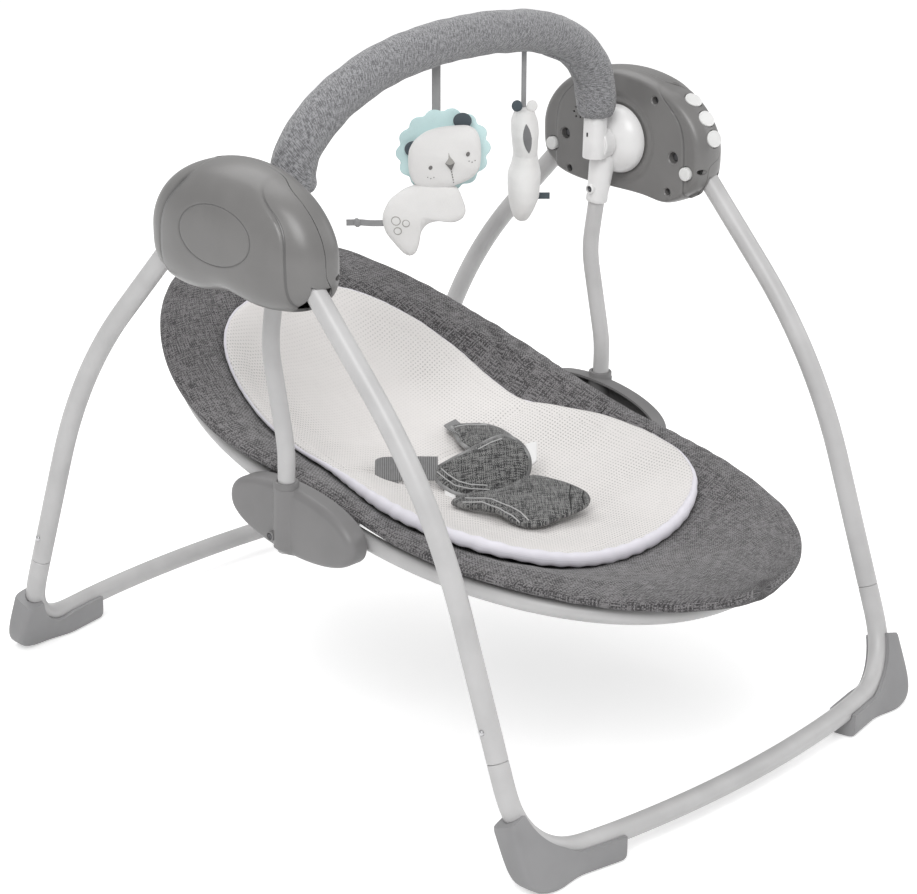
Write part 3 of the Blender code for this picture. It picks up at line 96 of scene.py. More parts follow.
room = bpy.data.worlds.new("white_room")
bpy.context.scene.world = room
room.use_nodes = True
ROOM_LIGHT = 0.50
room_light = room.node_tree.nodes["Background"]
room_light.inputs["Color"].default_value = (1, 1, 1, 1)
seen = room.node_tree.nodes.new("ShaderNodeLightPath")
seen_share = room.node_tree.nodes.new("ShaderNodeMath")
seen_share.operation = "MULTIPLY_ADD"
seen_share.inputs[1].default_value = 1 - ROOM_LIGHT
seen_share.inputs[2].default_value = ROOM_LIGHT
room.node_tree.links.new(seen.outputs["Is Camera Ray"], seen_share.inputs[0])
room.node_tree.links.new(seen_share.outputs[0], room_light.inputs["Strength"])

for name, place, watts, size in (
    ("key_box", (-1.9, -1.5, 2.5), 52, 1.6),
    ("fill_box", (2.2, -1.6, 1.5), 13, 1.8),
    ("top_box", (0.2, 1.0, 2.6), 24, 2.0),
):
    lamp = bpy.data.objects.new(name, bpy.data.lights.new(name, "AREA"))
    bpy.context.scene.collection.objects.link(lamp)
    lamp.data.energy = watts
    lamp.data.size = size
    lamp.location = place
    lamp.rotation_euler = (Vector((0, 0, 0.30)) - lamp.location).to_track_quat("-Z", "Y").to_euler()
bpy.context.scene.view_settings.view_transform = "Standard"


# Legs and base tubes
# Round steel tube with a warm light grey powder coat. Each leg is bent at its knee and slides over
# the thinner end of a bowed base tube, where a sprung steel button locks it.
def skin(name, grid, finish=None, ring=False, sharp=38.0):
    """One mesh over a grid of points, (rows, around, 3): a quad between each four neighbours, and a fan
    to the middle of the first and the last row, or quads between these rows when it is a ring.
    Its map holds metres run round the row and along the rows. Faces point out of the shape."""
    grid = np.asarray(grid, float)
    rows, around = grid.shape[:2]
    spans = rows if ring else rows - 1
    row = np.arange(spans)[:, None]
    column = np.arange(around)[None]
    after, beside = (row + 1) % rows, (column + 1) % around
    quads = np.stack(
        [row * around + column, row * around + beside, after * around + beside, after * around + column], -1
    ).reshape(-1, 4)
    points = grid.reshape(-1, 3)
    round_steps = np.linalg.norm(np.roll(grid, -1, axis=1) - grid, axis=2).mean(0)
    run_round = np.concatenate([[0], np.cumsum(round_steps)])
    row_steps = np.linalg.norm(np.roll(grid, -1, axis=0) - grid, axis=2).mean(1)
    run_along = np.concatenate([[0], np.cumsum(row_steps)])
    u0, u1 = run_round[column] + 0 * row, run_round[column + 1] + 0 * row
    v0, v1 = run_along[row] + 0 * column, run_along[row + 1] + 0 * column
    maps = np.stack([u0, v0, u1, v0, u1, v1, u0, v1], -1).reshape(-1, 4, 2)
    faces, corner_maps = quads.tolist(), maps.reshape(-1, 2)
    if not ring:
        first, last = len(points), len(points) + 1
        points = np.vstack([points, grid[:1].mean(1), grid[-1:].mean(1)])
        one, two = column[0], beside[0]
        low = np.stack([np.full(around, first), two, one], -1)
        high = np.stack([np.full(around, last), (rows - 1) * around + one, (rows - 1) * around + two], -1)
        faces += low.tolist() + high.tolist()
        low_map = np.stack([u0[0], 0 * u0[0], u1[0], 0 * u0[0], u0[0], 0 * u0[0]], -1).reshape(-1, 2)
        high_map = low_map + [0, run_along[rows - 1]]
        corner_maps = np.vstack([corner_maps, low_map, high_map])
    mesh = bpy.data.meshes.new(name)
    mesh.from_pydata(points.tolist(), [], faces)
    layer = mesh.uv_layers.new(name="surface")
    layer.data.foreach_set("uv", corner_maps.astype(np.float32).ravel())
    a, b, c = (points[[f[i] for f in faces]] for i in (0, 1, 2))
    triangles = np.einsum("ij,ij->", a, np.cross(b, c))
    a, b, c = grid[row, column], grid[after, beside], grid[after, column]
    triangles += np.einsum("ijk,ijk->", a, np.cross(b, c))
    if triangles < 0:
        mesh.flip_normals()
    mesh.shade_smooth()
    mesh.set_sharp_from_angle(angle=radians(sharp))
    made = bpy.data.objects.new(name, mesh)
    bpy.context.scene.collection.objects.link(made)
    if finish:
        mesh.materials.append(finish)
    return made


def unit(vectors):
    """Each vector divided by its own length."""
    return vectors / np.linalg.norm(vectors, axis=-1)[..., None]


def turns(count, start=0.5):
    """Even angles once round."""
    return 2 * pi * (np.arange(count) + start) / count


def directions(path):
    """The unit way at each point of a path: halfway between the runs that meet there."""
    runs = unit(np.diff(path, axis=0))
    return unit(np.vstack([runs[:1], runs[:-1] + runs[1:], runs[-1:]]))


def bent(points, radius, steps=16):
    """A line through corner points, each inner corner turned to an arc. The arc's middle lies on the
    corner's bisector, at the radius divided by the sine of half the corner's angle."""
    points = [np.asarray(p, float) for p in points]
    parts = [points[0][None]]
    for before, corner, after in zip(points, points[1:], points[2:]):
        u, v = unit(before - corner), unit(after - corner)
        half = np.arccos(np.clip(u @ v, -1, 1)) / 2
        middle = corner + unit(u + v) * radius / np.sin(half)
        reach = radius / np.tan(half)
        first, last = corner + u * reach - middle, corner + v * reach - middle
        sweep = np.arccos(np.clip(first @ last / radius**2, -1, 1))
        t = np.linspace(0, 1, steps + 1)[:, None]
        parts.append(middle + (first * np.sin((1 - t) * sweep) + last * np.sin(t * sweep)) / np.sin(sweep))
    return np.vstack(parts + [points[-1][None]])


def runs_of(path):
    """The run along a path up to each of its points."""
    return np.concatenate([[0], np.cumsum(np.linalg.norm(np.diff(path, axis=0), axis=1))])


def flowing(path, spacing=0.004, rounds=10):
    """The same line at even spacing, each inner point drawn to the mean of its neighbours a few times."""
    run = runs_of(path)
    even = np.linspace(0, run[-1], int(run[-1] / spacing) + 2)
    line = np.stack([np.interp(even, run, path[:, k]) for k in range(3)], 1)
    for _ in range(rounds):
        line[1:-1] = (line[:-2] + 2 * line[1:-1] + line[2:]) / 4
    return line


def swept(name, path, radius, upright, finish, around=40, ease=0.0007):
    """A round bar along a path: each section is a circle of the radius square to the path, set by the
    upright vector, and the two ends are eased to a small chamfer."""
    path = np.asarray(path, float)
    ways = directions(path)
    radii = np.asarray(radius, float).reshape(-1, 1) if np.ndim(radius) < 2 else radius
    radii = np.broadcast_to(radii, (len(path), around))
    first, last = path[:1] + ways[:1] * ease, path[-1:] - ways[-1:] * ease
    path = np.vstack([path[:1], first, path[1:-1], last, path[-1:]])
    ways = np.vstack([ways[:1], ways, ways[-1:]])
    radii = np.vstack([radii[:1] - ease, radii, radii[-1:] - ease])
    side = unit(np.cross(np.asarray(upright, float), ways))
    up = np.cross(ways, side)
    turn = turns(around)
    grid = path[:, None] + side[:, None] * (radii * np.cos(turn))[..., None]
    grid = grid + up[:, None] * (radii * np.sin(turn))[..., None]
    return skin(name, grid, finish)


def fit(piece, body, node=None):
    """A finished piece on the body that it moves with, in place of the CAD node that it covers."""
    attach(piece, body)
    if node:
        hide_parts(node)


class Wire:
    """One value in a material. Arithmetic written on it adds the Math nodes that work it out."""

    def __init__(self, finish, socket):
        self.finish, self.socket = finish, socket

    def sum(self, operation, *others):
        """What a Math node makes of this value and the others."""
        values = {k: v for k, v in enumerate((self, *others))}
        return self.finish.node("ShaderNodeMath", {"operation": operation}, values)

    def __add__(self, other):
        return self.sum("ADD", other)

    def __mul__(self, other):
        return self.sum("MULTIPLY", other)

    def __sub__(self, other):
        return self.sum("SUBTRACT", other)

    def __rsub__(self, other):
        return self.sum("MULTIPLY_ADD", -1.0, other)

    def __truediv__(self, other):
        return self.sum("DIVIDE", other)

    def __rtruediv__(self, other):
        return self.finish.node("ShaderNodeMath", {"operation": "DIVIDE"}, {0: other, 1: self})

    __radd__, __rmul__ = __add__, __mul__

    def between(self, low, high):
        """0 below low, 1 above high, and a smooth step between."""
        values = {"Value": self, "From Min": low, "From Max": high}
        return self.finish.node("ShaderNodeMapRange", {"interpolation_type": "SMOOTHSTEP"}, values)

    def axis(self, name):
        """One axis of a vector."""
        return self.finish.node("ShaderNodeSeparateXYZ", values={0: self}, out=name)

    def rib(self):
        """A rounded rib on each unit of a value: the size of its sine."""
        return (self * pi).sum("SINE").sum("ABSOLUTE")


class Finish:
    """A material on one Principled shader. Its nodes are added by node()."""

    def __init__(self, name, **constants):
        self.material = bpy.data.materials.new(name)
        self.material.use_nodes = True
        self.tree = self.material.node_tree
        self.shader = self.tree.nodes["Principled BSDF"]
        for key, value in constants.items():
            self.feed(self.shader.inputs[key.replace("_", " ")], value)

    def feed(self, socket, value):
        """Link a wire into a socket, or set the socket to a number or a colour."""
        if isinstance(value, Wire):
            self.tree.links.new(value.socket, socket)
        elif isinstance(value, tuple) and len(value) == 3 and len(socket.default_value) == 4:
            socket.default_value = (*value, 1.0)
        else:
            socket.default_value = value

    def node(self, kind, settings=None, values=None, out=0):
        """Add a node, set it up, feed it, and hand out the wire from one of its outputs."""
        made = self.tree.nodes.new(kind)
        for key, value in (settings or {}).items():
            setattr(made, key, value)
        for key, value in (values or {}).items():
            self.feed(made.inputs[key], value)
        return Wire(self, made.outputs[out])

    def laid(self, spot, stretch, turn):
        """A place turned about Z and then stretched along each axis."""
        if turn:
            spot = self.node("ShaderNodeMapping", values={"Vector": spot, "Rotation": (0, 0, turn)})
        return self.node("ShaderNodeMapping", values={"Vector": spot, "Scale": stretch})

    def place(self, stretch=(1, 1, 1), turn=0.0):
        """The point's place on the object in metres, turned and stretched."""
        return self.laid(self.node("ShaderNodeTexCoord", out="Object"), stretch, turn)

    def surface(self, stretch=(1, 1, 1), turn=0.0):
        """The run in metres over the piece's own map, turned and stretched."""
        return self.laid(self.node("ShaderNodeUVMap", {"uv_map": "surface"}), stretch, turn)

    def noise(self, spot, scale, detail=2.0, roughness=0.5):
        """Cloudy noise with about scale clouds in each metre of the spot."""
        values = {"Vector": spot, "Scale": scale, "Detail": detail, "Roughness": roughness}
        return self.node("ShaderNodeTexNoise", values=values)

    def mix(self, share, one, two):
        """A colour between two."""
        return self.node("ShaderNodeMix", {"data_type": "RGBA"}, {0: share, 6: one, 7: two}, out=2)

    def colour(self, value):
        """Set or wire the surface's colour."""
        self.feed(self.shader.inputs["Base Color"], value)

    def rough(self, value):
        """Set or wire the surface's roughness."""
        self.feed(self.shader.inputs["Roughness"], value)

    def bump(self, height, distance, strength=1.0, under=None):
        """Raise the surface in looks only by the height times the distance, over another bump if given."""
        values = {"Height": height, "Distance": distance, "Strength": strength}
        if under:
            values["Normal"] = under
        made = self.node("ShaderNodeBump", values=values)
        self.feed(self.shader.inputs["Normal"], made)
        return made


def toned(colour, share):
    """A colour made darker or lighter by a share."""
    return tuple(min(1.0, c * share) for c in colour)


def powder_coat(name, colour):
    """Powder coat: a fine orange peel, a faint cloud in the colour, and small rubbed specks."""
    coat = Finish(name, Coat_Weight=0.12, Coat_Roughness=0.25)
    cloud = coat.noise(coat.place(), 26.0, 3.0)
    specks = coat.noise(coat.place(), 900.0, 2.0, 0.7).between(0.66, 0.74)
    peel = coat.noise(coat.place(), 620.0, 1.0)
    clouded = coat.mix(cloud.between(0.3, 0.7), toned(colour, 0.94), toned(colour, 1.04))
    coat.colour(coat.mix(specks * 0.25, clouded, (0.80, 0.80, 0.79)))
    coat.rough(0.30 + 0.10 * cloud + 0.08 * peel)
    coat.bump(peel, 0.00006, 0.35)
    return coat.material


tube_coat = powder_coat("grey_powder_coat", (0.545, 0.540, 0.540))
LEG_X, LEG_R = 0.260, 0.0095
PIVOT = np.array([0.072, 0.4954])
UPPER, LOWER = radians(43.04), radians(19.65)
DOWN_LEG = np.array([sin(UPPER), -cos(UPPER)])
UPPER_LONG, TOP_OVER = 0.2353, 0.013
KNEE = PIVOT + UPPER_LONG * DOWN_LEG
KNEE_R, CORNER_R = 0.49, 0.062
SEAM_Z, BASE_Z, SNAP_RUN = 0.1085, 0.0232, 0.029


def on_leg(z):
    """The (y, z) place on the straight lower run at a height."""
    return np.array([KNEE[0] + (KNEE[1] - z) * tan(LOWER), z])


def put(side, end, yz):
    """A (y, z) place on one of the four legs."""
    return np.array([side * LEG_X, end * yz[0], yz[1]])


BASE_Y, BOW_X, BOW_CURVE = on_leg(BASE_Z)[0], 0.17, 0.447


def bow_y(x):
    """How far out the floor tube bows: a parabola in x through its corners."""
    return BASE_Y + BOW_CURVE * (LEG_X**2 - x**2)


leg_top = PIVOT - TOP_OVER * DOWN_LEG
steel = Finish("button_steel", Metallic=1.0)
steel_haze = steel.noise(steel.place((1, 1, 6)), 1400.0, 2.0)
steel.colour(steel.mix(steel_haze, (0.42, 0.42, 0.43), (0.60, 0.60, 0.61)))
steel.rough(0.24 + 0.16 * steel_haze)
steel.bump(steel_haze, 0.00003, 0.4)

for end_name, end in ENDS.items():
    for side_name, side in SIDES.items():
        corner_name = f"{side_name}_{end_name}"
        line = bent([put(side, end, yz) for yz in (leg_top, KNEE, on_leg(SEAM_Z + 0.0003))], KNEE_R)
        leg = swept(corner_name + "_leg_tube", flowing(line, 0.006, 4), LEG_R, (1, 0, 0), tube_coat)
        fit(leg, end_name + "_frame", corner_name + "_leg")
        snap = put(side, end, on_leg(SEAM_Z + SNAP_RUN * cos(LOWER)))
        profile = [(0.0060, 0.0027), (LEG_R + 0.0006, 0.0027), (LEG_R + 0.0014, 0.0024),
                   (LEG_R + 0.0020, 0.0016), (LEG_R + 0.0022, 0.0005)]
        path = [snap + np.array([side * d, 0, 0]) for d, r in profile]
        button = swept(corner_name + "_lock_button", path, [r for d, r in profile], (0, 0, 1),
                       steel.material, 20, 0.0001)
        snap_button = corner_name + "_snap_button"
        fit(button, snap_button + "_body", snap_button)
    bow_x = np.linspace(BOW_X, -BOW_X, 60)
    bow = np.stack([bow_x, end * bow_y(bow_x), np.full(60, BASE_Z)], 1)
    near = bent([put(1, end, on_leg(SEAM_Z)), put(1, end, (BASE_Y, BASE_Z)), bow[0]], CORNER_R)
    line = flowing(np.vstack([near[:-1], bow, near[-2::-1] * [-1, 1, 1]]), 0.004, 14)
    upright = np.cross((line[1] - line[0]), (1.0, 0, 0))
    base = swept(end_name + "_floor_tube", line, LEG_R, upright, tube_coat)
    fit(base, end_name + "_frame", end_name + "_base_tube")


# Corner feet
# A boot of soft grey plastic, moulded round the outer half of each bent corner and pushed on. Its
# sole is flat on the floor.
def moulded(name, colour, roughness=0.42, grain=1500.0, gloss=0.04, metal=0.0):
    """Moulded plastic: a fine even grain, faint flow clouds, and a slow change of gloss. With a share
    of metal it is plated or lacquered wire and screws."""
    made = Finish(name, Coat_Weight=gloss, Coat_Roughness=0.35, Metallic=metal)
    cloud = made.noise(made.place(), 18.0, 3.0)
    pores = made.noise(made.place(), grain, 2.0, 0.6)
    made.colour(made.mix(cloud.between(0.3, 0.7), toned(colour, 0.93), toned(colour, 1.05)))
    made.rough(roughness - 0.05 + 0.10 * cloud + 0.06 * pores)
    made.bump(pores, 0.00005, 0.5)
    return made


foot_plastic = moulded("foot_plastic", (0.290, 0.288, 0.293), 0.55).material
BOOT_BORE, BOOT_HALF, SOLE_HALF, WALL_X = 0.0102, 0.0140, 0.0107, 0.2740
BOOT_SQUARE, BOOT_TAIL, BOOT_UNDER, PLUMB_FROM, PLUMB_OVER = 0.36, 0.0430, 0.012, 0.72, 0.28


def drawn(value, power):
    """A sine or cosine raised to a power with its sign kept, which squares off or sharpens an ellipse."""
    return np.sign(value) * np.abs(value) ** power


def boot_reach(points, outward):
    """How far the boot stands off a point: to its upright wall or the floor, rounded where they meet as
    the third root of the sum of the two distances' inverse cubes."""
    to_floor = points[..., 2] / np.maximum(-outward[..., 2], 1e-4)
    to_wall = (WALL_X - np.abs(points[..., 0])) / np.maximum(np.abs(outward[..., 0]), 1e-4)
    return (to_wall**-3.0 + to_floor**-3.0) ** (-1 / 3)


for end_name, end in ENDS.items():
    for side_name, side in SIDES.items():
        bow_start = np.array([side * BOW_X, end * bow_y(BOW_X), BASE_Z])
        corners = [put(side, end, on_leg(SEAM_Z)), put(side, end, (BASE_Y, BASE_Z)), bow_start]
        arc = bent(corners, CORNER_R, 40)
        tail_run = arc[-2] + unit(bow_start - arc[-2]) * np.linspace(0.002, BOOT_TAIL, 18)[:, None]
        line = np.vstack([arc[8:-1], tail_run])
        t = np.concatenate([np.linspace(0.17, 1.0, len(arc) - 9), np.ones(18)])[:, None]
        ways = directions(line)
        plumb = np.clip((t - PLUMB_FROM) / PLUMB_OVER, 0, 1)
        plumb = plumb * plumb * (3 - 2 * plumb)
        down = unit(arc[1] - arc[0]) * (1 - plumb) + np.array([0, 0, -1.0]) * plumb
        aim = np.array([side, 0, 0.0]) * (1 - t) + down * t
        outward = unit(aim - ways * np.einsum("ij,ij->i", aim, ways)[:, None])
        across = np.cross(ways, outward)
        turn = np.linspace(-0.10, pi + 0.10, 60)[None]
        a = drawn(np.cos(turn), BOOT_SQUARE) * BOOT_HALF + 0 * t
        inner_spot = line[:, None] + across[:, None] * np.clip(a, -SOLE_HALF, SOLE_HALF)[..., None]
        reach = boot_reach(inner_spot, outward[:, None] + 0 * inner_spot)
        under = BOOT_UNDER * np.sin(turn)
        b = np.where(np.sin(turn) > 0, reach * drawn(np.sin(turn), BOOT_SQUARE), under)
        back_turn = np.linspace(pi + 0.13, -0.13, 30)[None]
        a = np.concatenate([a, BOOT_BORE * np.cos(back_turn) + 0 * t], 1)
        b = np.concatenate([b, BOOT_BORE * np.sin(back_turn) + 0 * t], 1)
        grid = line[:, None] + across[:, None] * a[..., None] + outward[:, None] * b[..., None]
        grid[..., 2] = np.maximum(grid[..., 2], 0.0)
        rim = np.abs(np.linspace(-1, 1, len(line))) > 0.985
        grid[rim] = grid[rim] * 0.96 + line[rim][:, None] * 0.04
        grid[..., 2] = np.maximum(grid[..., 2], 0.0)
        boot = skin(f"{side_name}_{end_name}_boot", grid, foot_plastic, sharp=48)
        fit(boot, end_name + "_frame", f"{side_name}_{end_name}_foot")


# Drive hub shells
# A pebble of mid grey plastic in two halves that meet in a shadow line. Both faces have a raised
# middle between two long creases, and the outer one an oval panel. Screws sit deep in round wells.
HUB_L, HUB_UP, HUB_DOWN, HUB_Z = 0.1048, 0.0713, 0.0511, 0.4972
HUB_IN, HUB_WIDE, HUB_PART, HUB_REACH = 0.2345, 0.2495, 0.2677, 0.0485
HUB_MIDDLE, HUB_AROUND, BELLY, DOME, AXLE_Z = 0.262, 280, 3.57, 2.7, 0.500
SEAM_GAP, SEAM_LIP, SEAM_DEEP, WALL = 0.0004, 0.0001, 0.0022, 0.0025
# Each screw well: how far it lies from the middle along Y, its z and its radius
WELLS = ((0.0700, 0.4925, 0.0055), (0.0450, 0.5450, 0.0038), (0.0640, 0.4575, 0.0035))
# Each long crease: how far it lies from the middle low down, how far it bends in at the top, and how
# long that bend is
CREASES = {
    "inner": (0.0830, 0.0420, 0.0095),
    "front": (0.0835, 0.0450, 0.0088),
    "rear": (0.0710, 0.0420, 0.0105),
}
BEND_Z, FADE_Z, FADE_RUN = 0.5425, 0.53, 0.03
OVAL_Y, OVAL_Z, OVAL_LONG, OVAL_HIGH, OVAL_SIZE = -0.0066, 0.5111, 0.0444, 0.0260, 0.030
KEY_X, PANEL_RISE = 0.2565, 0.0012
FOLD, FOLD_RUN, PORES, PORES_R = radians(28), 0.0215, (0.053, 0.517), 0.0055


def bell(run, width, power=2):
    """A bell curve: 1 at a run of 0, falling off over its width, the more squarely the higher its power."""
    return np.exp(-((run / width) ** power))


def step(run, soft):
    """A logistic step from 0 to 1 where a run passes 0."""
    return 1 / (1 + np.exp(-run / soft))


def crease_run(y, z, name):
    """How far a place lies beyond a long crease: the size of y less the crease's own y at that height,
    which is constant low down and bends in by a logistic step near the top."""
    low, bend, soft = CREASES[name]
    return np.abs(y) - (low - bend * step(z - BEND_Z, soft))


def oval_run(y, z):
    """How far a place lies outside the oval panel, in metres."""
    share = np.sqrt(((y - OVAL_Y) / OVAL_LONG) ** 2 + ((z - OVAL_Z) / OVAL_HIGH) ** 2)
    return (share - 1) * OVAL_SIZE


def hub_bottom(x, y):
    """How far the pebble hangs below its middle line: drawn up between the legs on the outer side,
    and bulged near the front leg on the inner side, both as bell curves in y."""
    outer = np.clip((x - HUB_IN) / (HUB_PART - HUB_IN), 0, 1)
    waist = 0.15 * outer * bell(y + 0.004, 0.028)
    bulge = 0.11 * (1 - outer) * bell(y + 0.060, 0.020)
    return HUB_DOWN * (1 - waist + bulge)


TURN = turns(HUB_AROUND)
UNDER = np.sign(np.cos(TURN)) * (np.abs(np.cos(TURN)) + np.abs(np.cos(TURN)) ** 0.56) / 2
UPPER_SIDE = np.sin(TURN) > 0
Y_SHARE = np.where(UPPER_SIDE, np.cos(TURN), UNDER)
Z_SHARE = np.where(UPPER_SIDE, np.sin(TURN), -np.maximum(0, 1 - np.abs(UNDER) ** BELLY) ** (1 / BELLY))


def shell_share(x):
    """Share of the full outline at x: a quarter ellipse from nine tenths up to the widest place, and a
    superellipse of the power DOME beyond it."""
    inward = np.clip((HUB_WIDE - x) / 0.015, 0, 1)
    beyond = np.clip((x - HUB_WIDE) / HUB_REACH, 0, 1)
    return np.where(x < HUB_WIDE, 0.9 + 0.1 * np.sqrt(1 - inward**2), (1 - beyond**DOME) ** (1 / DOME))


def shell_grid(side, x, share):
    """Sections of the pebble: at each x an outline of share times the full size, an ellipse above and
    a superellipse of the power BELLY below."""
    y = share * HUB_L * Y_SHARE
    z = share * np.where(UPPER_SIDE, HUB_UP, hub_bottom(x, y)) * Z_SHARE
    return np.stack([side * x + 0 * y, y, HUB_Z + z], -1)


def parting(side):
    """Where the two halves meet, by column: near the inner face, and further out round the front rim by
    a smooth window, most on the right where the keys sit."""
    angle = np.arctan2(Z_SHARE, -Y_SHARE)
    out, low, soft = (0.0202, -0.12, 0.03) if side > 0 else (0.0095, -0.35, 0.06)
    return 0.2475 + out * step(angle - low, soft) * step(1.03 - angle, 0.05)


def offset(grid, depth):
    """Each point of a grid moved inward by a depth, against the mean of its neighbours' cross products."""
    rows = np.gradient(grid, axis=0)
    columns = np.roll(grid, -1, axis=1) - np.roll(grid, 1, axis=1)
    normal = np.cross(rows, columns)
    normal /= np.linalg.norm(normal, axis=2)[..., None] + 1e-12
    middle = np.array([HUB_MIDDLE * np.sign(grid[0, 0, 0]), 0, HUB_Z])
    normal *= np.sign(np.einsum("ijk,ijk->ij", normal, grid - middle).mean())
    depth = np.asarray(depth)
    return grid - normal * (depth[..., None] if depth.ndim else depth)


def carve(grid, outer):
    """The faces' relief. Beyond each crease the wall drops by 1.8 to 3 mm and swells out again. The outer
    face has a fine groove round its oval panel, and the inner one has two low steps round the cap."""
    y, z = grid[..., 1], grid[..., 2]
    if outer:
        front, rear = crease_run(y, z, "front"), crease_run(y, z, "rear")
        run = np.where(y < 0, front, rear)
        deep = np.where(y < 0, 0.0021, 0.0030)
        groove = bell(run, 0.0009) * np.where(y < 0, 0.0003, 0.0)
        groove = groove + np.where(y < 0, 0, 0.0016) * bell(run - 0.0030, 0.0030, 4)
    else:
        run = crease_run(y, z, "inner")
        deep, groove = 0.0018, 0.0004 * bell(run, 0.0010)
    beyond = np.maximum(run, 0)
    above = (z - FADE_Z) / FADE_RUN
    fade = bell(beyond, 0.0130) * np.clip(1.25 - above, 0, 1)
    sunk = deep * step(run, 0.0007) * fade + groove * np.clip(1.4 - above, 0, 1)
    if outer:
        sunk = sunk + 0.0005 * bell(oval_run(y, z), 0.0009)
    else:
        from_axle = np.hypot(y, z - AXLE_Z)
        on_face = np.clip((0.2352 - np.abs(grid[..., 0])) / 0.0005, 0, 1)
        sunk = sunk + on_face * 0.0006 * step(0.0350 - from_axle, 0.0004)
        sunk = sunk + on_face * 0.0016 * step(0.0436 - from_axle, 0.0011)
    if grid[0, 0, 0] > 0:
        angle = np.arctan2((z - HUB_Z) / HUB_UP, -y / HUB_L)
        panel = step(angle - 0.10, 0.020) * step(0.93 - angle, 0.020)
        sunk = sunk - PANEL_RISE * panel * bell(grid[..., 0] - KEY_X, 0.0118, 8)
    return offset(grid, sunk)


def merged(name, tools):
    """One object that holds all the given ones' faces."""
    bpy.ops.object.select_all(action="DESELECT")
    for tool in tools:
        tool.select_set(True)
    bpy.context.view_layer.objects.active = tools[0]
    bpy.ops.object.join()
    tools[0].name = name
    return tools[0]


def settled(piece, *extra):
    """The piece with its modifiers applied, and the objects that they used removed."""
    bpy.context.view_layer.update()
    shape = piece.evaluated_get(bpy.context.evaluated_depsgraph_get())
    mesh = bpy.data.meshes.new_from_object(shape)
    mesh.validate()
    piece.modifiers.clear()
    piece.data = mesh
    for other in extra:
        bpy.data.objects.remove(other)
    return piece


def cut_out(piece, tools):
    """The piece with the tools' room taken out of it, and its hard edges kept sharp."""
    cut = piece.modifiers.new("cut", "BOOLEAN")
    cut.object = merged(piece.name + "_cutter", tools)
    cut.use_self = True
    settled(piece, cut.object)
    piece.data.set_sharp_from_angle(angle=radians(32))
    return piece


def hub_plastic(name, outer):
    """The hubs' plastic, with painted shade in the thin dark line along each crease and round the oval
    panel's groove, drawn from the same distances that shape the shell."""
    made = moulded(name, (0.190, 0.186, 0.183), 0.31, 1300.0, 0.10)
    spot = made.place()
    y, z = spot.axis("Y"), spot.axis("Z")
    line = 0.0
    for crease in (("front", "rear") if outer else ("inner",)):
        low, bend, soft = CREASES[crease]
        away = (z * -1.0 + BEND_Z) / soft
        run = (y.sum("ABSOLUTE") - (low - bend / (1.0 + away.sum("EXPONENT")))).sum("ABSOLUTE")
        width = 0.0062 if crease == "rear" else 0.0010
        painted_crease_shade = (1.0 - run.between(width * 0.4, width)) * (1.0 - z.between(0.545, 0.558))
        if outer:
            painted_crease_shade = painted_crease_shade * (y * (-1.0 if crease == "front" else 1.0)).between(-0.001, 0.001)
        line = painted_crease_shade + line
    under = made.shader.inputs["Normal"].links[0].from_socket
    if outer:
        flat_y, flat_z = (y - OVAL_Y) / OVAL_LONG, (z - OVAL_Z) / OVAL_HIGH
        away = ((flat_y * flat_y + flat_z * flat_z).sum("SQRT") - 1.0) * OVAL_SIZE
        line = line.sum("MAXIMUM", 1.0 - away.sum("ABSOLUTE").between(0.0001, 0.0008))
    base = made.shader.inputs["Base Color"].links[0].from_socket
    # Painted shade: the crease lines (a strip about 6 mm wide on the rear crease) and the oval groove are
    # mixed towards near black
    made.colour(made.mix(line * 0.60, Wire(made, base), (0.07, 0.07, 0.07)))
    made.bump(1.0 - line, 0.0004, 0.8, Wire(made, under))
    return made.material


def well(side, y, z, reach=0.0042, deep=0.0115):
    """A screw well's cutter: a plain bore with a small countersink at the face."""
    runs = [(-0.004, reach + 0.0012), (0.0002, reach + 0.0012), (0.0012, reach), (deep, reach)]
    path = [(side * (HUB_IN + d), y, z) for d, r in runs]
    return swept("well", path, [r for d, r in runs], (0, 0, 1), None, 28, 0.0001)


def slot_prism(side, end):
    """The room that a leg needs in the rim, from spread to folded."""
    wide = LEG_R + 0.0003
    outline = []
    for angle, reach, runs in ((UPPER, wide, (0.018, 0.075)), (UPPER - FOLD, -wide, (0.075, 0.018))):
        down, out = np.array([sin(angle), -cos(angle)]), np.array([cos(angle), sin(angle)])
        outline += [PIVOT + run * down + reach * out for run in runs]
    xs = (side * (LEG_X - wide), side * (LEG_X + wide))
    grid = [[(x, end * y, z) for y, z in outline] for x in xs]
    return skin("slot", grid)


def leg_slots(side):
    """Both legs' slots in one hub. A cut uses its tools up, so each half gets its own."""
    return [slot_prism(side, end) for end in ENDS.values()]


inner_plastic = hub_plastic("hub_plastic_inner", False)
outer_plastic = hub_plastic("hub_plastic_outer", True)
well_steel = moulded("well_screw_steel", (0.11, 0.11, 0.115), 0.35, metal=0.9).material
fold_y, fold_z = PIVOT + FOLD_RUN * DOWN_LEG
KEYS = {"speed_button": 44.0, "timer_button": 28.5, "music_button": 13.0}


def key_frame(angle):
    """A key's middle on the rim's ellipse, the way it faces, and its ring of points one unit wide."""
    a = radians(angle)
    spot = np.array([KEY_X, -HUB_L * cos(a), HUB_Z + HUB_UP * sin(a)])
    normal = np.array([0, -cos(a) / HUB_L, sin(a) / HUB_UP])
    normal /= np.linalg.norm(normal)
    spot = spot + normal * PANEL_RISE
    turn = turns(64, 0)
    wide, tall = (1.0, 0, 0), np.cross(normal, (1.0, 0, 0))
    return spot, normal, np.outer(np.cos(turn), wide), np.outer(np.sin(turn), tall)


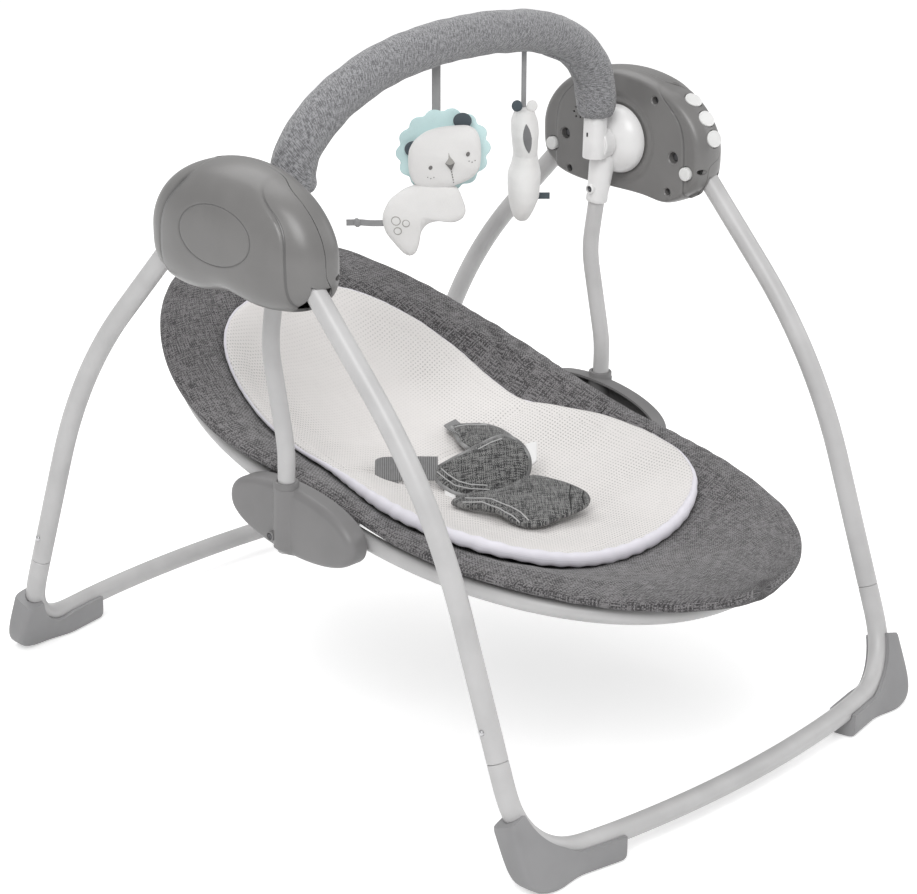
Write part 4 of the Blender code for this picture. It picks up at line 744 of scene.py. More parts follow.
def cup(side, y, z, wide):
    """A screw well's wall and floor, a thin cup behind the face."""
    runs = ((0.0022, wide), (0.0022, wide + 0.001), (0.0078, wide + 0.001),
            (0.0078, 0.0003), (0.0064, 0.0003), (0.0064, wide))
    turn = turns(28, 0)
    ring = np.stack([0 * turn, np.cos(turn), np.sin(turn)], 1)
    spot = np.array([side * HUB_IN, y, z])
    rings = [spot + np.array([side * d, 0, 0]) + ring * r for d, r in runs]
    return skin("cup", rings, inner_plastic, ring=True)


for side_name, side in SIDES.items():
    seam = parting(side)[None]
    flat = np.linspace(0.02, 0.885, 62)[:, None]
    bow = (1 - np.cos(np.linspace(0, pi / 2, 30)))[:, None]
    wall_x = HUB_IN + (seam - SEAM_GAP - HUB_IN) * bow
    x = np.vstack([HUB_IN + 0 * flat + 0 * seam, wall_x, seam - SEAM_LIP])
    share = np.vstack([flat + 0 * seam, shell_share(wall_x), shell_share(seam) - SEAM_DEEP])
    grid = carve(shell_grid(side, x, share), False)
    grid = np.concatenate([grid, offset(grid, WALL)[::-3]])
    inner = skin(side_name + "_hub_inner_half", grid, inner_plastic)
    dome = np.linspace(0.02, 0.90, 74)[:, None]
    dome_x = HUB_WIDE + HUB_REACH * (1 - dome**DOME) ** (1 / DOME)
    wall_x = dome_x[-1] + (seam + SEAM_GAP - dome_x[-1]) * np.linspace(0, 1, 24)[1:, None]
    x = np.vstack([dome_x + 0 * seam, wall_x, seam + SEAM_LIP])
    share = np.vstack([dome + 0 * seam, shell_share(wall_x), shell_share(seam) - SEAM_DEEP])
    grid = carve(shell_grid(side, x, share), True)
    grid = np.concatenate([grid, offset(grid, WALL)[::-3]])
    outer = skin(side_name + "_hub_outer_half", grid, outer_plastic)
    wells = [well(side, end * y, z, wide) for end in (-1, 1) for y, z, wide in WELLS]
    fold_holes = [well(side, end * fold_y, fold_z, 0.0074, 0.006) for end in (-1, 1)]
    dent_way = np.array([-side * 0.72, -0.69, 0.0])
    dent_turn, dent_runs = turns(40, 0), ((-0.0040, 0.8), (-0.001, 0.95), (0.006, 1.1))
    dent_ring = np.outer(np.cos(dent_turn), np.array([-side * 0.69, 0.72, 0.0]) * 0.0058)
    dent_ring = dent_ring + np.outer(np.sin(dent_turn), (0, 0, 0.0030))
    dent_spot = np.array([side * 0.2400, -0.1030, 0.4830])
    more = [skin("rim_slot", [dent_spot + dent_ring * k + dent_way * d for d, k in dent_runs])]
    if side > 0:
        around = [(PORES[0] + PORES_R * cos(a), PORES[1] + PORES_R * sin(a)) for a in turns(6, 0)]
        for y, z in [PORES] + around:
            path = [(HUB_IN - 0.003, y, z), (HUB_IN + 0.004, y, z)]
            more.append(swept("pore", path, 0.0012, (0, 0, 1), None, 12, 0.0001))
        for key, angle in KEYS.items():
            spot, normal, wide, tall = key_frame(angle)
            rings = ((-0.008, 0), (-0.0012, 0), (0.0002, 0.0006), (0.006, 0.0006))
            rings = [spot + wide * (0.0104 + g) + tall * (0.0090 + g) + normal * d for d, g in rings]
            more.append(skin("key_hole", rings))
        inlet = [(0.256, 0.030, 0.435), (0.256, 0.030, 0.4535)]
        more.append(swept("inlet_hole", inlet, 0.0056, (0, 1, 0), None, 24, 0.0001))
    cut_out(inner, wells + fold_holes + leg_slots(side) + more)
    cut_out(outer, leg_slots(side))
    heads = []
    for end in (-1, 1):
        for y, z, wide in WELLS:
            path = [(side * (HUB_IN + d), end * y, z) for d in (0.0066, 0.0054, 0.0049)]
            radii = [wide * 0.75, wide * 0.75, wide * 0.55]
            heads.append(swept("head", path, radii, (0, 0, 1), well_steel, 20, 0.0001))
            heads.append(cup(side, end * y, z, wide))
    screws = merged(side_name + "_hub_screws", heads)
    fit(inner, "hubs", side_name + "_hub_inner_shell")
    fit(outer, "hubs", side_name + "_hub_outer_shell")
    fit(screws, "hubs")


# Keys, fold buttons and what the hubs hold
# White plastic keys with a soft crown on the controls' rim, and a round white button by each leg.
# Inside are the bushes, the magnet arm, the coil, the speaker, the board and the power jack.
key_plastic = moulded("white_key_plastic", (0.80, 0.80, 0.79), 0.34, 1800.0, 0.15).material
for key, angle in KEYS.items():
    spot, normal, wide, tall = key_frame(angle)
    shares = np.array([1.0, 1.0, 1.0, 0.985, 0.95, 0.90, 0.85, 0.81, 0.77, 0.70, 0.35, 0.04])
    heights = np.array([-59, -14, -4, 0, 2, 2, 0, -2, -3, -3, -2, -2]) * 1e-4
    ring = wide * 0.0097 + tall * 0.0083
    grid = spot + shares[:, None, None] * ring[None] + heights[:, None, None] * normal
    cap = skin(key.replace("button", "key"), grid, key_plastic, sharp=60)
    fit(cap, key + "_body", key)


def turned_piece(name, middle, way, profile, finish, around=72):
    """A turned shape: (distance along its axis, radius) pairs spun about a line, its corners as given."""
    middle, way = np.asarray(middle, float), unit(np.asarray(way, float))
    helper = np.array([0, 0, 1.0]) if abs(way[2]) < 0.9 else np.array([0, 1.0, 0])
    side = unit(np.cross(helper, way))
    up = np.cross(way, side)
    turn = turns(around)
    ring = np.outer(np.cos(turn), side) + np.outer(np.sin(turn), up)
    run, radius = np.array(profile, float).T
    grid = middle + run[:, None, None] * way + radius[:, None, None] * ring[None]
    return skin(name, grid, finish, sharp=34)


KNOB = [(0.0, 0.0066), (0.0040, 0.0066), (0.0047, 0.0063), (0.0051, 0.0055), (0.0052, 0.0030),
        (0.0050, 0.0004)]
for side_name, side in SIDES.items():
    for end_name, end in ENDS.items():
        root = (side * (HUB_IN + 0.0022), end * fold_y, fold_z)
        fold_button = f"{side_name}_{end_name}_fold_button"
        knob = fold_button.replace("button", "knob")
        knob = turned_piece(knob, root, (-side, 0, 0), KNOB, key_plastic, 36)
        fit(knob, fold_button + "_body", fold_button)


def repaint(node, finish):
    """A CAD node shown as it is, in one finish."""
    nodes[node].data.materials.clear()
    nodes[node].data.materials.append(finish)


INSIDE = (
    (("left_axle_bush", "right_axle_bush"), moulded("bush_plastic", (0.62, 0.62, 0.60), 0.4)),
    (("magnet_arm",), moulded("arm_plastic", (0.035, 0.035, 0.036), 0.5)),
    (("circuit_board",), moulded("board_lacquer", (0.02, 0.16, 0.07), 0.38)),
    (("drive_coil",), moulded("coil_wire", (0.58, 0.26, 0.12), 0.35, 4000.0, metal=0.8)),
    (("speaker", "power_inlet"), moulded("speaker_plastic", (0.03, 0.03, 0.032), 0.55)),
)
for shown, look in INSIDE:
    for node in shown:
        repaint(node, look.material)


# Hanger caps, tubes and screws
# A white domed cap turns on each hub and runs down into a sleeve that a screw clamps on the hanger
# tube. The tubes are bent steel with the legs' coat.
cap_plastic = moulded("white_cap_plastic", (0.82, 0.815, 0.813), 0.26, 1800.0, 0.2).material
HANGER_X, HANGER_R, HANGER_LOW = 0.214, 0.008, 0.1945
HANGER_TOP, ELBOW = (0.0038, 0.470), (0.0166, 0.3875)


def on_hanger(z):
    """The (y, z) place on the tube's straight top run."""
    lean = (ELBOW[0] - HANGER_TOP[0]) / (HANGER_TOP[1] - ELBOW[1])
    return np.array([ELBOW[0] - lean * (z - ELBOW[1]), z])


for side_name, side in SIDES.items():
    base_x = HUB_IN - 0.0003
    share = np.concatenate([[0.0, 0.02], np.linspace(0.06, 0.93, 26)])
    dome = [(base_x - 0.0202 * s, 0.034 * sqrt(1 - s**2) * 0.98 + 0.0007) for s in share]
    dome = [(base_x, 0.0331)] + dome + [(base_x - 0.0202, 0.0108), (base_x - 0.0203, 0.0100)]
    profile = [(0.262, 0.0075), (0.2615, 0.0080), (base_x + 0.0002, 0.0080)] + dome
    profile += [(base_x - 0.0204, 0.0060), (0.1975, 0.0060), (0.197, 0.0054)]
    parts = [turned_piece("dome", (0, 0, AXLE_Z), (side, 0, 0), profile, cap_plastic, 96)]
    top = np.array([side * HANGER_X, *on_hanger(0.4800)])
    low = np.array([side * HANGER_X, *on_hanger(0.4393)])
    length = np.linalg.norm(low - top)
    profile = [(-0.0120, 0.0010), (-0.0114, 0.0050), (-0.0095, 0.0088), (-0.0060, 0.0113), (-0.0015, 0.0123),
               (0.004, 0.0125), (length - 0.0060, 0.0105), (length - 0.0045, 0.0108),
               (length - 0.0008, 0.0108), (length, 0.0103), (length, 0.0086), (length - 0.006, 0.0084)]
    parts.append(turned_piece("sleeve", top, low - top, profile, cap_plastic, 56))
    spot = np.array([side * HANGER_X, *on_hanger(0.4535)])
    profile = [(0.0100, 0.0048), (0.0136, 0.0047), (0.0142, 0.0042), (0.0142, 0.0034), (0.0118, 0.0032)]
    parts.append(turned_piece("screw_rim", spot, (-side, 0, 0), profile, cap_plastic, 40))
    cap = merged(side_name + "_domed_cap", parts)
    fit(cap, "swing", side_name + "_hanger_cap")
    corners = [(side * HANGER_X, *yz) for yz in (HANGER_TOP, ELBOW, (-0.0030, 0.2945), (0, HANGER_LOW))]
    line = flowing(bent(corners, 0.075), 0.004, 8)
    tube = swept(side_name + "_hanging_tube", line, HANGER_R, (1, 0, 0), tube_coat)
    fit(tube, "swing", side_name + "_hanger_tube")
    profile = [(0.0104, 0.0018), (0.0122, 0.0030), (0.0130, 0.0028), (0.0133, 0.0017), (0.0128, 0.0011),
               (0.0122, 0.0004)]
    screw = turned_piece(side_name + "_sleeve_screw", spot, (-side, 0, 0), profile, well_steel, 24)
    fit(screw, "swing", side_name + "_hanger_screw")


# Side brackets
# A grey moulded cover with a soft rim, swollen where the hanger tube ends in its boss. Behind it a
# plate holds the seat's two bows and turns on the boss to set the seat.
bracket_plastic = moulded("bracket_plastic", (0.207, 0.203, 0.204), 0.40, 1300.0, 0.08).material
COVER_Y, COVER_Z, COVER_LONG, COVER_HIGH, COVER_TILT = -0.0085, 0.226, 0.082, 0.033, radians(5)
COVER_BACK, COVER_FACE, COVER_ROUND, BOSS_R, BOSS_SOFT = 0.1990, 0.2190, 0.0080, 0.0118, 900.0


def bracket_ring(side, x, long, high, around=200):
    """The cover's outline: a tilted ellipse whose height goes as the sine to the power 0.85."""
    turn = turns(around)
    u, v = long * np.cos(turn), high * drawn(np.sin(turn), 0.85)
    y = COVER_Y + u * cos(COVER_TILT) - v * sin(COVER_TILT)
    z = COVER_Z + u * sin(COVER_TILT) + v * cos(COVER_TILT)
    return np.stack([np.full(around, side * x), y, z], 1)


def hanger_line_y(z):
    """The hanger tube's y inside the cover."""
    return -0.0030 * np.clip((z - HANGER_LOW) / 0.100, 0, 1.3)


for side_name, side in SIDES.items():
    long, high = COVER_LONG, COVER_HIGH
    turn = np.linspace(0, pi / 2, 12)
    inset = COVER_ROUND * (1 - np.cos(turn))
    xs = COVER_FACE - COVER_ROUND * (1 - np.sin(turn))
    rows = [bracket_ring(side, x, long, high) for x in (COVER_BACK, 0.2050)]
    rows += [bracket_ring(side, x, long - i, high - i) for x, i in zip(xs, inset)]
    for share in np.linspace(0.97, 0.02, 44):
        x = COVER_FACE + 0.0016 * (1 - share**2)
        rows.append(bracket_ring(side, x, (long - COVER_ROUND) * share, (high - COVER_ROUND) * share))
    grid = np.array(rows)
    y, z = grid[..., 1], grid[..., 2]
    from_tube = y - hanger_line_y(z)
    ease = np.clip((z - 0.1900) / 0.010, 0, 1)
    boss = HANGER_X + np.sqrt(np.maximum(BOSS_R**2 - from_tube**2, 0)) * ease
    boss = np.where(np.abs(from_tube) < BOSS_R, boss, 0)
    x = np.abs(grid[..., 0])
    both = np.exp(BOSS_SOFT * (x - 0.22)) + np.exp(BOSS_SOFT * (boss - 0.22))
    swollen = np.log(both) / BOSS_SOFT + 0.22
    face = np.arange(len(rows))[:, None] >= 6
    grid[..., 0] = side * np.where(face, swollen, x)
    insides = ((COVER_BACK, 0.0024), (0.2120, 0.004), (0.2160, 0.010))
    rows = [bracket_ring(side, x, long - i, high - i) for x, i in insides]
    rows.append(bracket_ring(side, 0.2166, long * 0.3, high * 0.3))
    cover = skin("cover", np.concatenate([np.array(rows)[::-1], grid]), bracket_plastic)
    low, top = np.array([side * HANGER_X, 0, 0.215]), np.array([side * HANGER_X, -0.0015, 0.2640])
    length = np.linalg.norm(top - low)
    profile = [(0, 0.0112), (length - 0.0012, 0.0116), (length - 0.0003, 0.0112), (length, 0.0104),
               (length, 0.0086), (length - 0.004, 0.0084)]
    collar = turned_piece("collar", low, top - low, profile, bracket_plastic, 56)
    pin_start = np.array([side * 0.1942, 0, 0.226])
    profile = [(0, 0.0094), (0.0006, 0.0100), (0.016, 0.0100)]
    pin = turned_piece("pin", pin_start, (side, 0, 0), profile, bracket_plastic, 40)
    screw_spot = np.array([side * 0.2238, 0.0100, 0.2095])
    profile = [(-0.004, 0.0046), (0.0012, 0.0046), (0.0017, 0.0042), (0.0017, 0.0034),
               (0.0006, 0.0032), (0.0006, 0.0003)]
    rim = turned_piece("screw_rim", screw_spot, (side, 0, 0), profile, bracket_plastic, 36)
    profile = [(0.0005, 0.0028), (0.0013, 0.0028), (0.0017, 0.0022), (0.0015, 0.0010), (0.0008, 0.0003)]
    screw = turned_piece("screw", screw_spot, (side, 0, 0), profile, well_steel, 30)
    shell = merged(side_name + "_bracket_shell", [cover, collar, pin, rim, screw])
    fit(shell, "swing", side_name + "_bracket_cover")


RING_X, ROUND = 0.1845, 2.3
SOCKETS = {"front": (-0.0140, -0.0550), "back": (0.0140, 0.0520)}


def ring_height(y):
    """Height of the seat's bows along the seat: a cubic in y."""
    return 0.231 + 0.20 * y + 0.456 * y**2 + 0.593 * y**3


for side_name, side in SIDES.items():
    plate_rows = [bracket_ring(side, x, 0.074 - i, 0.022 - i, 120)
                  for x, i in ((0.1987, 0.0006), (0.1981, 0), (0.1948, 0), (0.1942, 0.0006))]
    parts = [skin("plate", plate_rows, bracket_plastic)]
    for socket in SOCKETS.values():
        start, stop = (np.array([side * RING_X, y, ring_height(y)]) for y in socket)
        run = np.linalg.norm(stop - start)
        profile = [(0, 0.0100), (0.0012, 0.0112), (run - 0.0010, 0.0112), (run, 0.0102),
                   (run, 0.0086), (run - 0.004, 0.0083)]
        parts.append(turned_piece("socket", start, stop - start, profile, bracket_plastic, 48))
    plate = merged(side_name + "_recline_plate", parts)
    fit(plate, "seat", side_name + "_bracket_plate")


# Seat bows
# Two bows of the same coated tube, one round the feet and one round the head, pushed into the plates.
for name, sign, reach in (("front", -1, 0.352), ("back", 1, 0.296)):
    mouth = SOCKETS[name]
    start, bend = mouth[0] + sign * 0.005, mouth[1] + sign * 0.012
    t = np.linspace(0, pi / 2, 60)
    x = RING_X * np.cos(t) ** (2 / ROUND)
    y = bend + sign * (reach - abs(bend)) * np.sin(t) ** (2 / ROUND)
    x, y = np.concatenate([[RING_X, RING_X], x]), np.concatenate([[start, mouth[1]], y])
    x, y = np.concatenate([x, -x[-2::-1]]), np.concatenate([y, y[-2::-1]])
    line = flowing(np.stack([x, y, ring_height(y)], 1), 0.004, 8)
    bow = swept(f"seat_{name}_bow", line, HANGER_R, (0, 0, 1), tube_coat)
    fit(bow, "seat", f"seat_{name}_tube")


# Seat cover
# A sling of dark grey melange cloth with a padded hem pulled over the bows. It is quilted on wadding,
# seamed across at the hips, and creased where it is drawn round the side brackets.
SEAT_HALF, SEAT_FRONT, SEAT_BACK, BACK_CENTRE = 0.2035, 0.380, 0.312, 0.060
HEM_R, SLING_R, SOFT_GAP = 0.0092, 0.0042, 0.0030


def seat_run(y):
    """0 amidships, 1 at the seat's front or back edge."""
    back = np.maximum(0, y - BACK_CENTRE) / (SEAT_BACK - BACK_CENTRE)
    return np.where(y < 0, np.abs(y) / SEAT_FRONT, back)


def seat_half(y):
    """Half the seat's width: a superellipse, pinched in by 12 mm at the brackets."""
    pinch = 0.0120 * bell(y + 0.030, 0.09)
    return (SEAT_HALF - pinch) * np.maximum(0, 1 - np.minimum(1, seat_run(y)) ** ROUND) ** (1 / ROUND)


def seat_share(x, y):
    """0 at the seat's middle, 1 on its outline."""
    return ((np.abs(x) / SEAT_HALF) ** ROUND + seat_run(y) ** ROUND) ** (1 / ROUND)


def sling(x, y):
    """The sling's middle surface: the hem's height less a bowl that is flat-topped at the hem, which is
    wider round the head by a smooth step in y."""
    hem = ring_height(y) + 0.0083 + HEM_R + 0.0060 * bell(y, 0.08)
    back = np.clip((y - 0.050) / 0.130, 0, 1)
    inside = seat_share(x, y) / (1 - 0.115 - 0.078 * back**2 * (3 - 2 * back))
    return hem - 0.062 * np.maximum(0, 1 - inside**2) ** 1.2


def sling_half(x, y):
    """Half the sling's thickness, thin in the middle and thick at the hem."""
    return SLING_R + (HEM_R - SLING_R) * np.minimum(1, seat_share(x, y)) ** 5


def wave(x, y, seed):
    """A smooth uneven field from five crossed sine waves of unlike lengths, about -1 to 1."""
    rng = np.random.default_rng(seed)
    total = 0
    for k in range(5):
        angle, pitch, phase = rng.uniform(0, pi), rng.uniform(0.03, 0.11), rng.uniform(0, 2 * pi)
        total = total + np.sin((x * cos(angle) + y * sin(angle)) * 2 * pi / pitch + phase)
    return total / 3


def melange(name, dark, light, pitch=0.0011, sheen=0.25, turn=0.0, tight=0.07, from_above=False):
    """Woven melange cloth: warp and weft threads cross over and under, and each is spun from light and
    dark fibre, so that it changes colour every few millimetres along its length. It follows the piece's
    own map, or lies flat as seen from above."""
    cloth = Finish(name, Roughness=0.92, Sheen_Weight=sheen, Sheen_Roughness=0.5)
    lay = cloth.place if from_above else cloth.surface
    spot = lay((1 / pitch, 1 / pitch, 1), turn)
    u, v = spot.axis("X"), spot.axis("Y")
    warp, weft = u.rib(), v.rib()
    over = ((u.sum("FLOOR") + v.sum("FLOOR")) * 0.5).sum("FRACT").between(0.24, 0.26)
    height = warp * over + weft * (1.0 - over)
    warp_tone = cloth.noise(lay((1 / pitch, 0.11 / pitch, 1), turn), 1.0, 1.0, 0.6)
    weft_tone = cloth.noise(lay((0.11 / pitch, 1 / pitch, 1), turn), 1.0, 1.0, 0.6)
    tone = warp_tone * over + weft_tone * (1.0 - over)
    cloud = cloth.noise(cloth.surface(), 22.0, 3.0)
    amount = (tone * 0.88 + cloud * 0.12).between(0.50 - tight, 0.50 + tight)
    # Painted shade: where the threads are low, in the hollows of the weave, the colour is drawn towards a
    # darker copy of the dark fibre
    shade = 0.50 + 0.50 * height
    cloth.colour(cloth.mix(shade, toned(dark, 0.45), cloth.mix(amount, dark, light)))
    cloth.bump(height + tone * 0.35, pitch * 0.32, 0.75)
    return cloth


rows = np.linspace(-1, 1, 230)
y = -0.034 + 0.346 * 0.9995 * (0.5 * np.sin(rows * pi / 2) + 0.5 * rows)
half = np.maximum(0.004, seat_half(y))[:, None]
turn = turns(420)[None]
even = np.where(turn < pi, 1 - 2 * turn / pi, 2 * turn / pi - 3)
x = half * (np.cos(turn) + even) / 2
x = x / np.abs(x).max(1)[:, None] * half * 0.999
y = y[:, None] + 0 * x
fill = np.maximum(0, 1 - (x / half) ** 2) ** 0.25
upper = np.sin(turn) > 0
share = np.minimum(1, seat_share(x, y))
soft = 0.0014 * wave(x, y, 4) * (0.35 + 0.65 * share**4) + 0.0005 * wave(x * 2.8, y * 2.8, 14)
around_y = np.arctan2(y - 0.02, x)
soft = soft + 0.0011 * np.sin(around_y * 61 + 3 * np.sin(around_y * 9)) * bell(share - 0.985, 0.05)
hip = bell(y + 0.045 + 0.10 * (np.abs(x) - 0.17), 0.0035) * (np.abs(x) > 0.13)
(from_x, from_y), (to_x, to_y), from_to = (0.147, 0.054), (0.195, 0.148), 0.1055
fold_away = ((x - from_x) * (to_y - from_y) - (y - from_y) * (to_x - from_x)) / from_to
fold = bell(fold_away, 0.0040) - 0.8 * bell(fold_away - 0.0095, 0.0060)
fold = fold * bell(np.hypot(x - 0.17, y - 0.10), 0.050, 4)
hem_seam = bell(share - 0.80, 0.006)
thick = sling_half(x, y) * fill
drawn_in = 0.0030 * hip + 0.0050 * fold * (x > 0) + 0.0008 * hem_seam
top = sling(x, y) + thick + soft * fill - fill * drawn_in
low = sling(x, y) - thick + 0.4 * soft * fill
z = np.where(upper, top, low)
cover_cloth = melange("dark_melange", (0.043, 0.040, 0.042), (0.262, 0.252, 0.258), 0.00150)
cover = skin("seat_sling", np.stack([x, y, z], -1), cover_cloth.material, sharp=180)
fit(cover, "seat", "seat_cover")
# A near-black finish for dark threads and seams, and for the painted shade of the clip's notch
dark_seam = moulded("dark_seam", (0.02, 0.02, 0.02), 0.7, 2500.0).material
seams = []
for side in (-1, 1):
    across = np.linspace(0.140, 0.1905, 16)
    route_y = -0.045 - 0.10 * (across - 0.17)
    full = (1 - (across / seat_half(route_y)) ** 2) ** 0.25
    height = sling(across, route_y) + sling_half(across, route_y) * full - 0.0024
    route = np.stack([side * across, route_y, height], 1)
    seams.append(swept("seam", route, 0.0010, (0, 0, 1), dark_seam, 10, 0.0003))
seams = merged("hip_seams", seams)
fit(seams, "seat")


# Seat insert
# A loose cushion of white spacer mesh on thin wadding, bound round its edge with a smooth white tape
# and drawn in at the waist, with a sewn channel across the hips.

# The right half of its outline from front to back, as (y, x)
OUTLINE = np.array([
    (-0.2360, 0.020), (-0.2290, 0.068), (-0.2130, 0.108), (-0.1900, 0.138), (-0.1550, 0.157),
    (-0.1050, 0.164), (-0.0550, 0.159), (-0.0100, 0.144), (0.0300, 0.130), (0.0750, 0.1343),
    (0.1200, 0.136), (0.1650, 0.1262), (0.2000, 0.1089), (0.2220, 0.0895), (0.2390, 0.0631), (0.2490, 0.025),
])


def even_outline(points, middle=(0.0, 0.0), count=132, rounds=7):
    """An even closed line through an outline's points, about its middle, softened in some rounds."""
    closed = np.vstack([points, points[:1]]) - np.asarray(middle)
    run = runs_of(closed)
    even = np.linspace(0, run[-1], count + 1)[:-1]
    line = np.stack([np.interp(even, run, closed[:, k]) for k in (0, 1)], 1)
    for _ in range(rounds):
        line = (np.roll(line, 1, axis=0) + 2 * line + np.roll(line, -1, axis=0)) / 4
    return line


def square_to(outline):
    """The unit way out of a closed line at each of its points."""
    along = np.roll(outline, -1, axis=0) - np.roll(outline, 1, axis=0)
    return unit(np.stack([along[:, 1], -along[:, 0]], 1))


right_and_left = np.vstack([OUTLINE[:, ::-1], OUTLINE[::-1, ::-1] * [-1, 1]])
edge = even_outline(right_and_left, count=520, rounds=37)
middle = np.array([0.0, 0.010])
rings = np.concatenate([np.linspace(0.012, 0.93, 60), [0.955, 0.975, 0.99, 1.0]])
rings = np.concatenate([rings, rings[-2::-1]])
shares = rings[:, None, None]
flat = middle + (edge - middle)[None] * shares
x, y = flat[..., 0], flat[..., 1]
count = (len(rings) + 1) // 2
upper = (np.arange(len(rings)) >= count)[:, None]
fill = np.maximum(0, 1 - shares[..., 0] ** 2) ** 0.30
bed = sling(x, y) + sling_half(x, y) + SOFT_GAP
INSERT_R = 0.0058
puff = 0.0009 * wave(x * 1.4, y * 1.4, 9) + 0.0005 * wave(x * 3.4, y * 3.4, 19)
channel = bell(y - 0.025 + 0.25 * x**2, 0.006)
quilt = bell(shares[..., 0] - 0.885, 0.008)
scallop = 0.5 + 0.5 * np.cos(np.arctan2(y, x) * 34)
crown = 2 * INSERT_R * (1 - 0.34 * channel) * fill
top = bed + 0.25 * INSERT_R + crown + puff * fill - 0.0011 * quilt * (0.6 + 0.4 * scallop)
low = bed + 0.25 * INSERT_R * (1 - fill)
z = np.where(upper, top, low)
mesh_cloth = Finish("white_spacer_mesh", Roughness=0.85, Sheen_Weight=0.2)
spot = mesh_cloth.place((1 / 0.0034, 1 / 0.0034, 1))
u, v = spot.axis("X"), spot.axis("Y")
cells = ((u + v) * pi).sum("COSINE") * ((u - v) * pi).sum("COSINE") * 0.5 + 0.5
clear = mesh_cloth.noise(mesh_cloth.place(), 9.0, 2.0).between(0.36, 0.62)
plain = 1.0 - mesh_cloth.place().axis("X").sum("ABSOLUTE").between(0.045, 0.10)
plain = plain * mesh_cloth.place().axis("Y").between(0.03, 0.09)
shaded_holes = cells.between(0.66, 0.92) * (0.45 + 0.55 * clear) * (1.0 - plain * 0.8)
fibre = mesh_cloth.noise(mesh_cloth.place(), 1500.0, 2.0)
yarn = mesh_cloth.mix(fibre, (0.74, 0.715, 0.70), (0.82, 0.795, 0.78))
# Painted shade: the mesh's holes are coloured grey for the shaded inside of the white mesh
mesh_cloth.colour(mesh_cloth.mix(shaded_holes, yarn, (0.43, 0.42, 0.41)))
mesh_cloth.bump(0.6 - shaded_holes * 0.6 + fibre * 0.15, 0.0007, 0.8)
insert = skin("mesh_insert", np.stack([x, y, z], -1), mesh_cloth.material, sharp=180)
fit(insert, "seat", "seat_insert")

tape = Finish("edge_tape", Roughness=0.55, Sheen_Weight=0.3)
rib = tape.surface((1 / 0.0008, 1 / 0.0030, 1)).axis("X").rib()
tape_cloud = tape.noise(tape.surface(), 60.0, 2.0)
tape.colour(tape.mix(tape_cloud, (0.74, 0.72, 0.78), (0.84, 0.82, 0.88)))
tape.rough(0.50 + 0.15 * rib)
tape.bump(rib, 0.0002, 0.4)
x, y = edge[:, :1], edge[:, 1:]
outside = square_to(edge)
turn = turns(18, 0)
pucker = 1 + 0.07 * np.sin(np.arange(len(edge)) * 2 * pi / 7.0)[:, None] + 0.06 * wave(x * 3, y * 3, 5)
facing = -(outside[:, :1] * 0.69 + outside[:, 1:] * 0.72)
near_front = step(facing - 0.24, 0.13) * step(0.005 - y, 0.020)
roll = 0.42 + 1.25 * near_front
wide, tall = 0.0034 * roll * pucker * np.cos(turn), 0.0040 * roll * pucker * np.sin(turn)
bed = sling(x, y) + sling_half(x, y) + SOFT_GAP + 0.0034 * roll
piping = np.stack([x + outside[:, :1] * wide, y + outside[:, 1:] * wide, bed + tall], -1)
piping = skin("insert_binding", piping, tape.material, ring=True, sharp=180)
fit(piping, "seat")


# Harness
# Two leaf-shaped waist pads and a crotch pad in the cover's cloth, bound in grey twill tape, with
# ribbed webbing that leaves through slits in the insert, and a white plastic buckle in the middle.
def ways_of(along, across):
    """A flat piece's own three unit ways: along it, across it and out of its face."""
    along, across = unit(np.asarray(along, float)), np.asarray(across, float)
    across = unit(across - along * (across @ along))
    return along, across, np.cross(along, across)


def stuffed(name, outline, centre, axes, thick, finish, bow=0.5, seed=1, swell=1.0, uneven=0.06):
    """A stuffed flat shape: its outline shrunk ring by ring, each ring raised on both faces by half the
    thickness times one less the share squared, to the power bow, with a little unevenness."""
    along, across, normal = axes
    shares = np.concatenate([np.linspace(0.02, 0.90, 22), [0.94, 0.97, 0.99, 1.0]])
    shares = np.concatenate([shares, shares[-2::-1]])
    count = (len(shares) + 1) // 2
    face = np.where(np.arange(len(shares)) < count, -1.0, 1.0)
    flat = outline[None] * shares[:, None, None] * swell
    rise = face[:, None] * thick / 2 * np.maximum(0, 1 - shares[:, None] ** 2) ** bow
    rise = rise * (1 + uneven * wave(flat[..., 0] * 2.2, flat[..., 1] * 2.2, seed))
    grid = np.asarray(centre) + flat[..., :1] * along + flat[..., 1:] * across + rise[..., None] * normal
    return skin(name, grid, finish, sharp=180)


def rope_round(name, outline, centre, axes, radii, lift, finish):
    """A flat band sewn round a pad's edge: an ellipse of the two radii carried round the outline."""
    along, across, normal = axes
    turn = turns(20, 0)
    flat = outline[:, None] + square_to(outline)[:, None] * (radii[0] * np.cos(turn))[None, :, None]
    tall = np.broadcast_to(radii[1] * np.sin(turn), flat.shape[:2]) + lift
    grid = np.asarray(centre) + flat[..., :1] * along + flat[..., 1:] * across + tall[..., None] * normal
    return skin(name, grid, finish, ring=True, sharp=180)


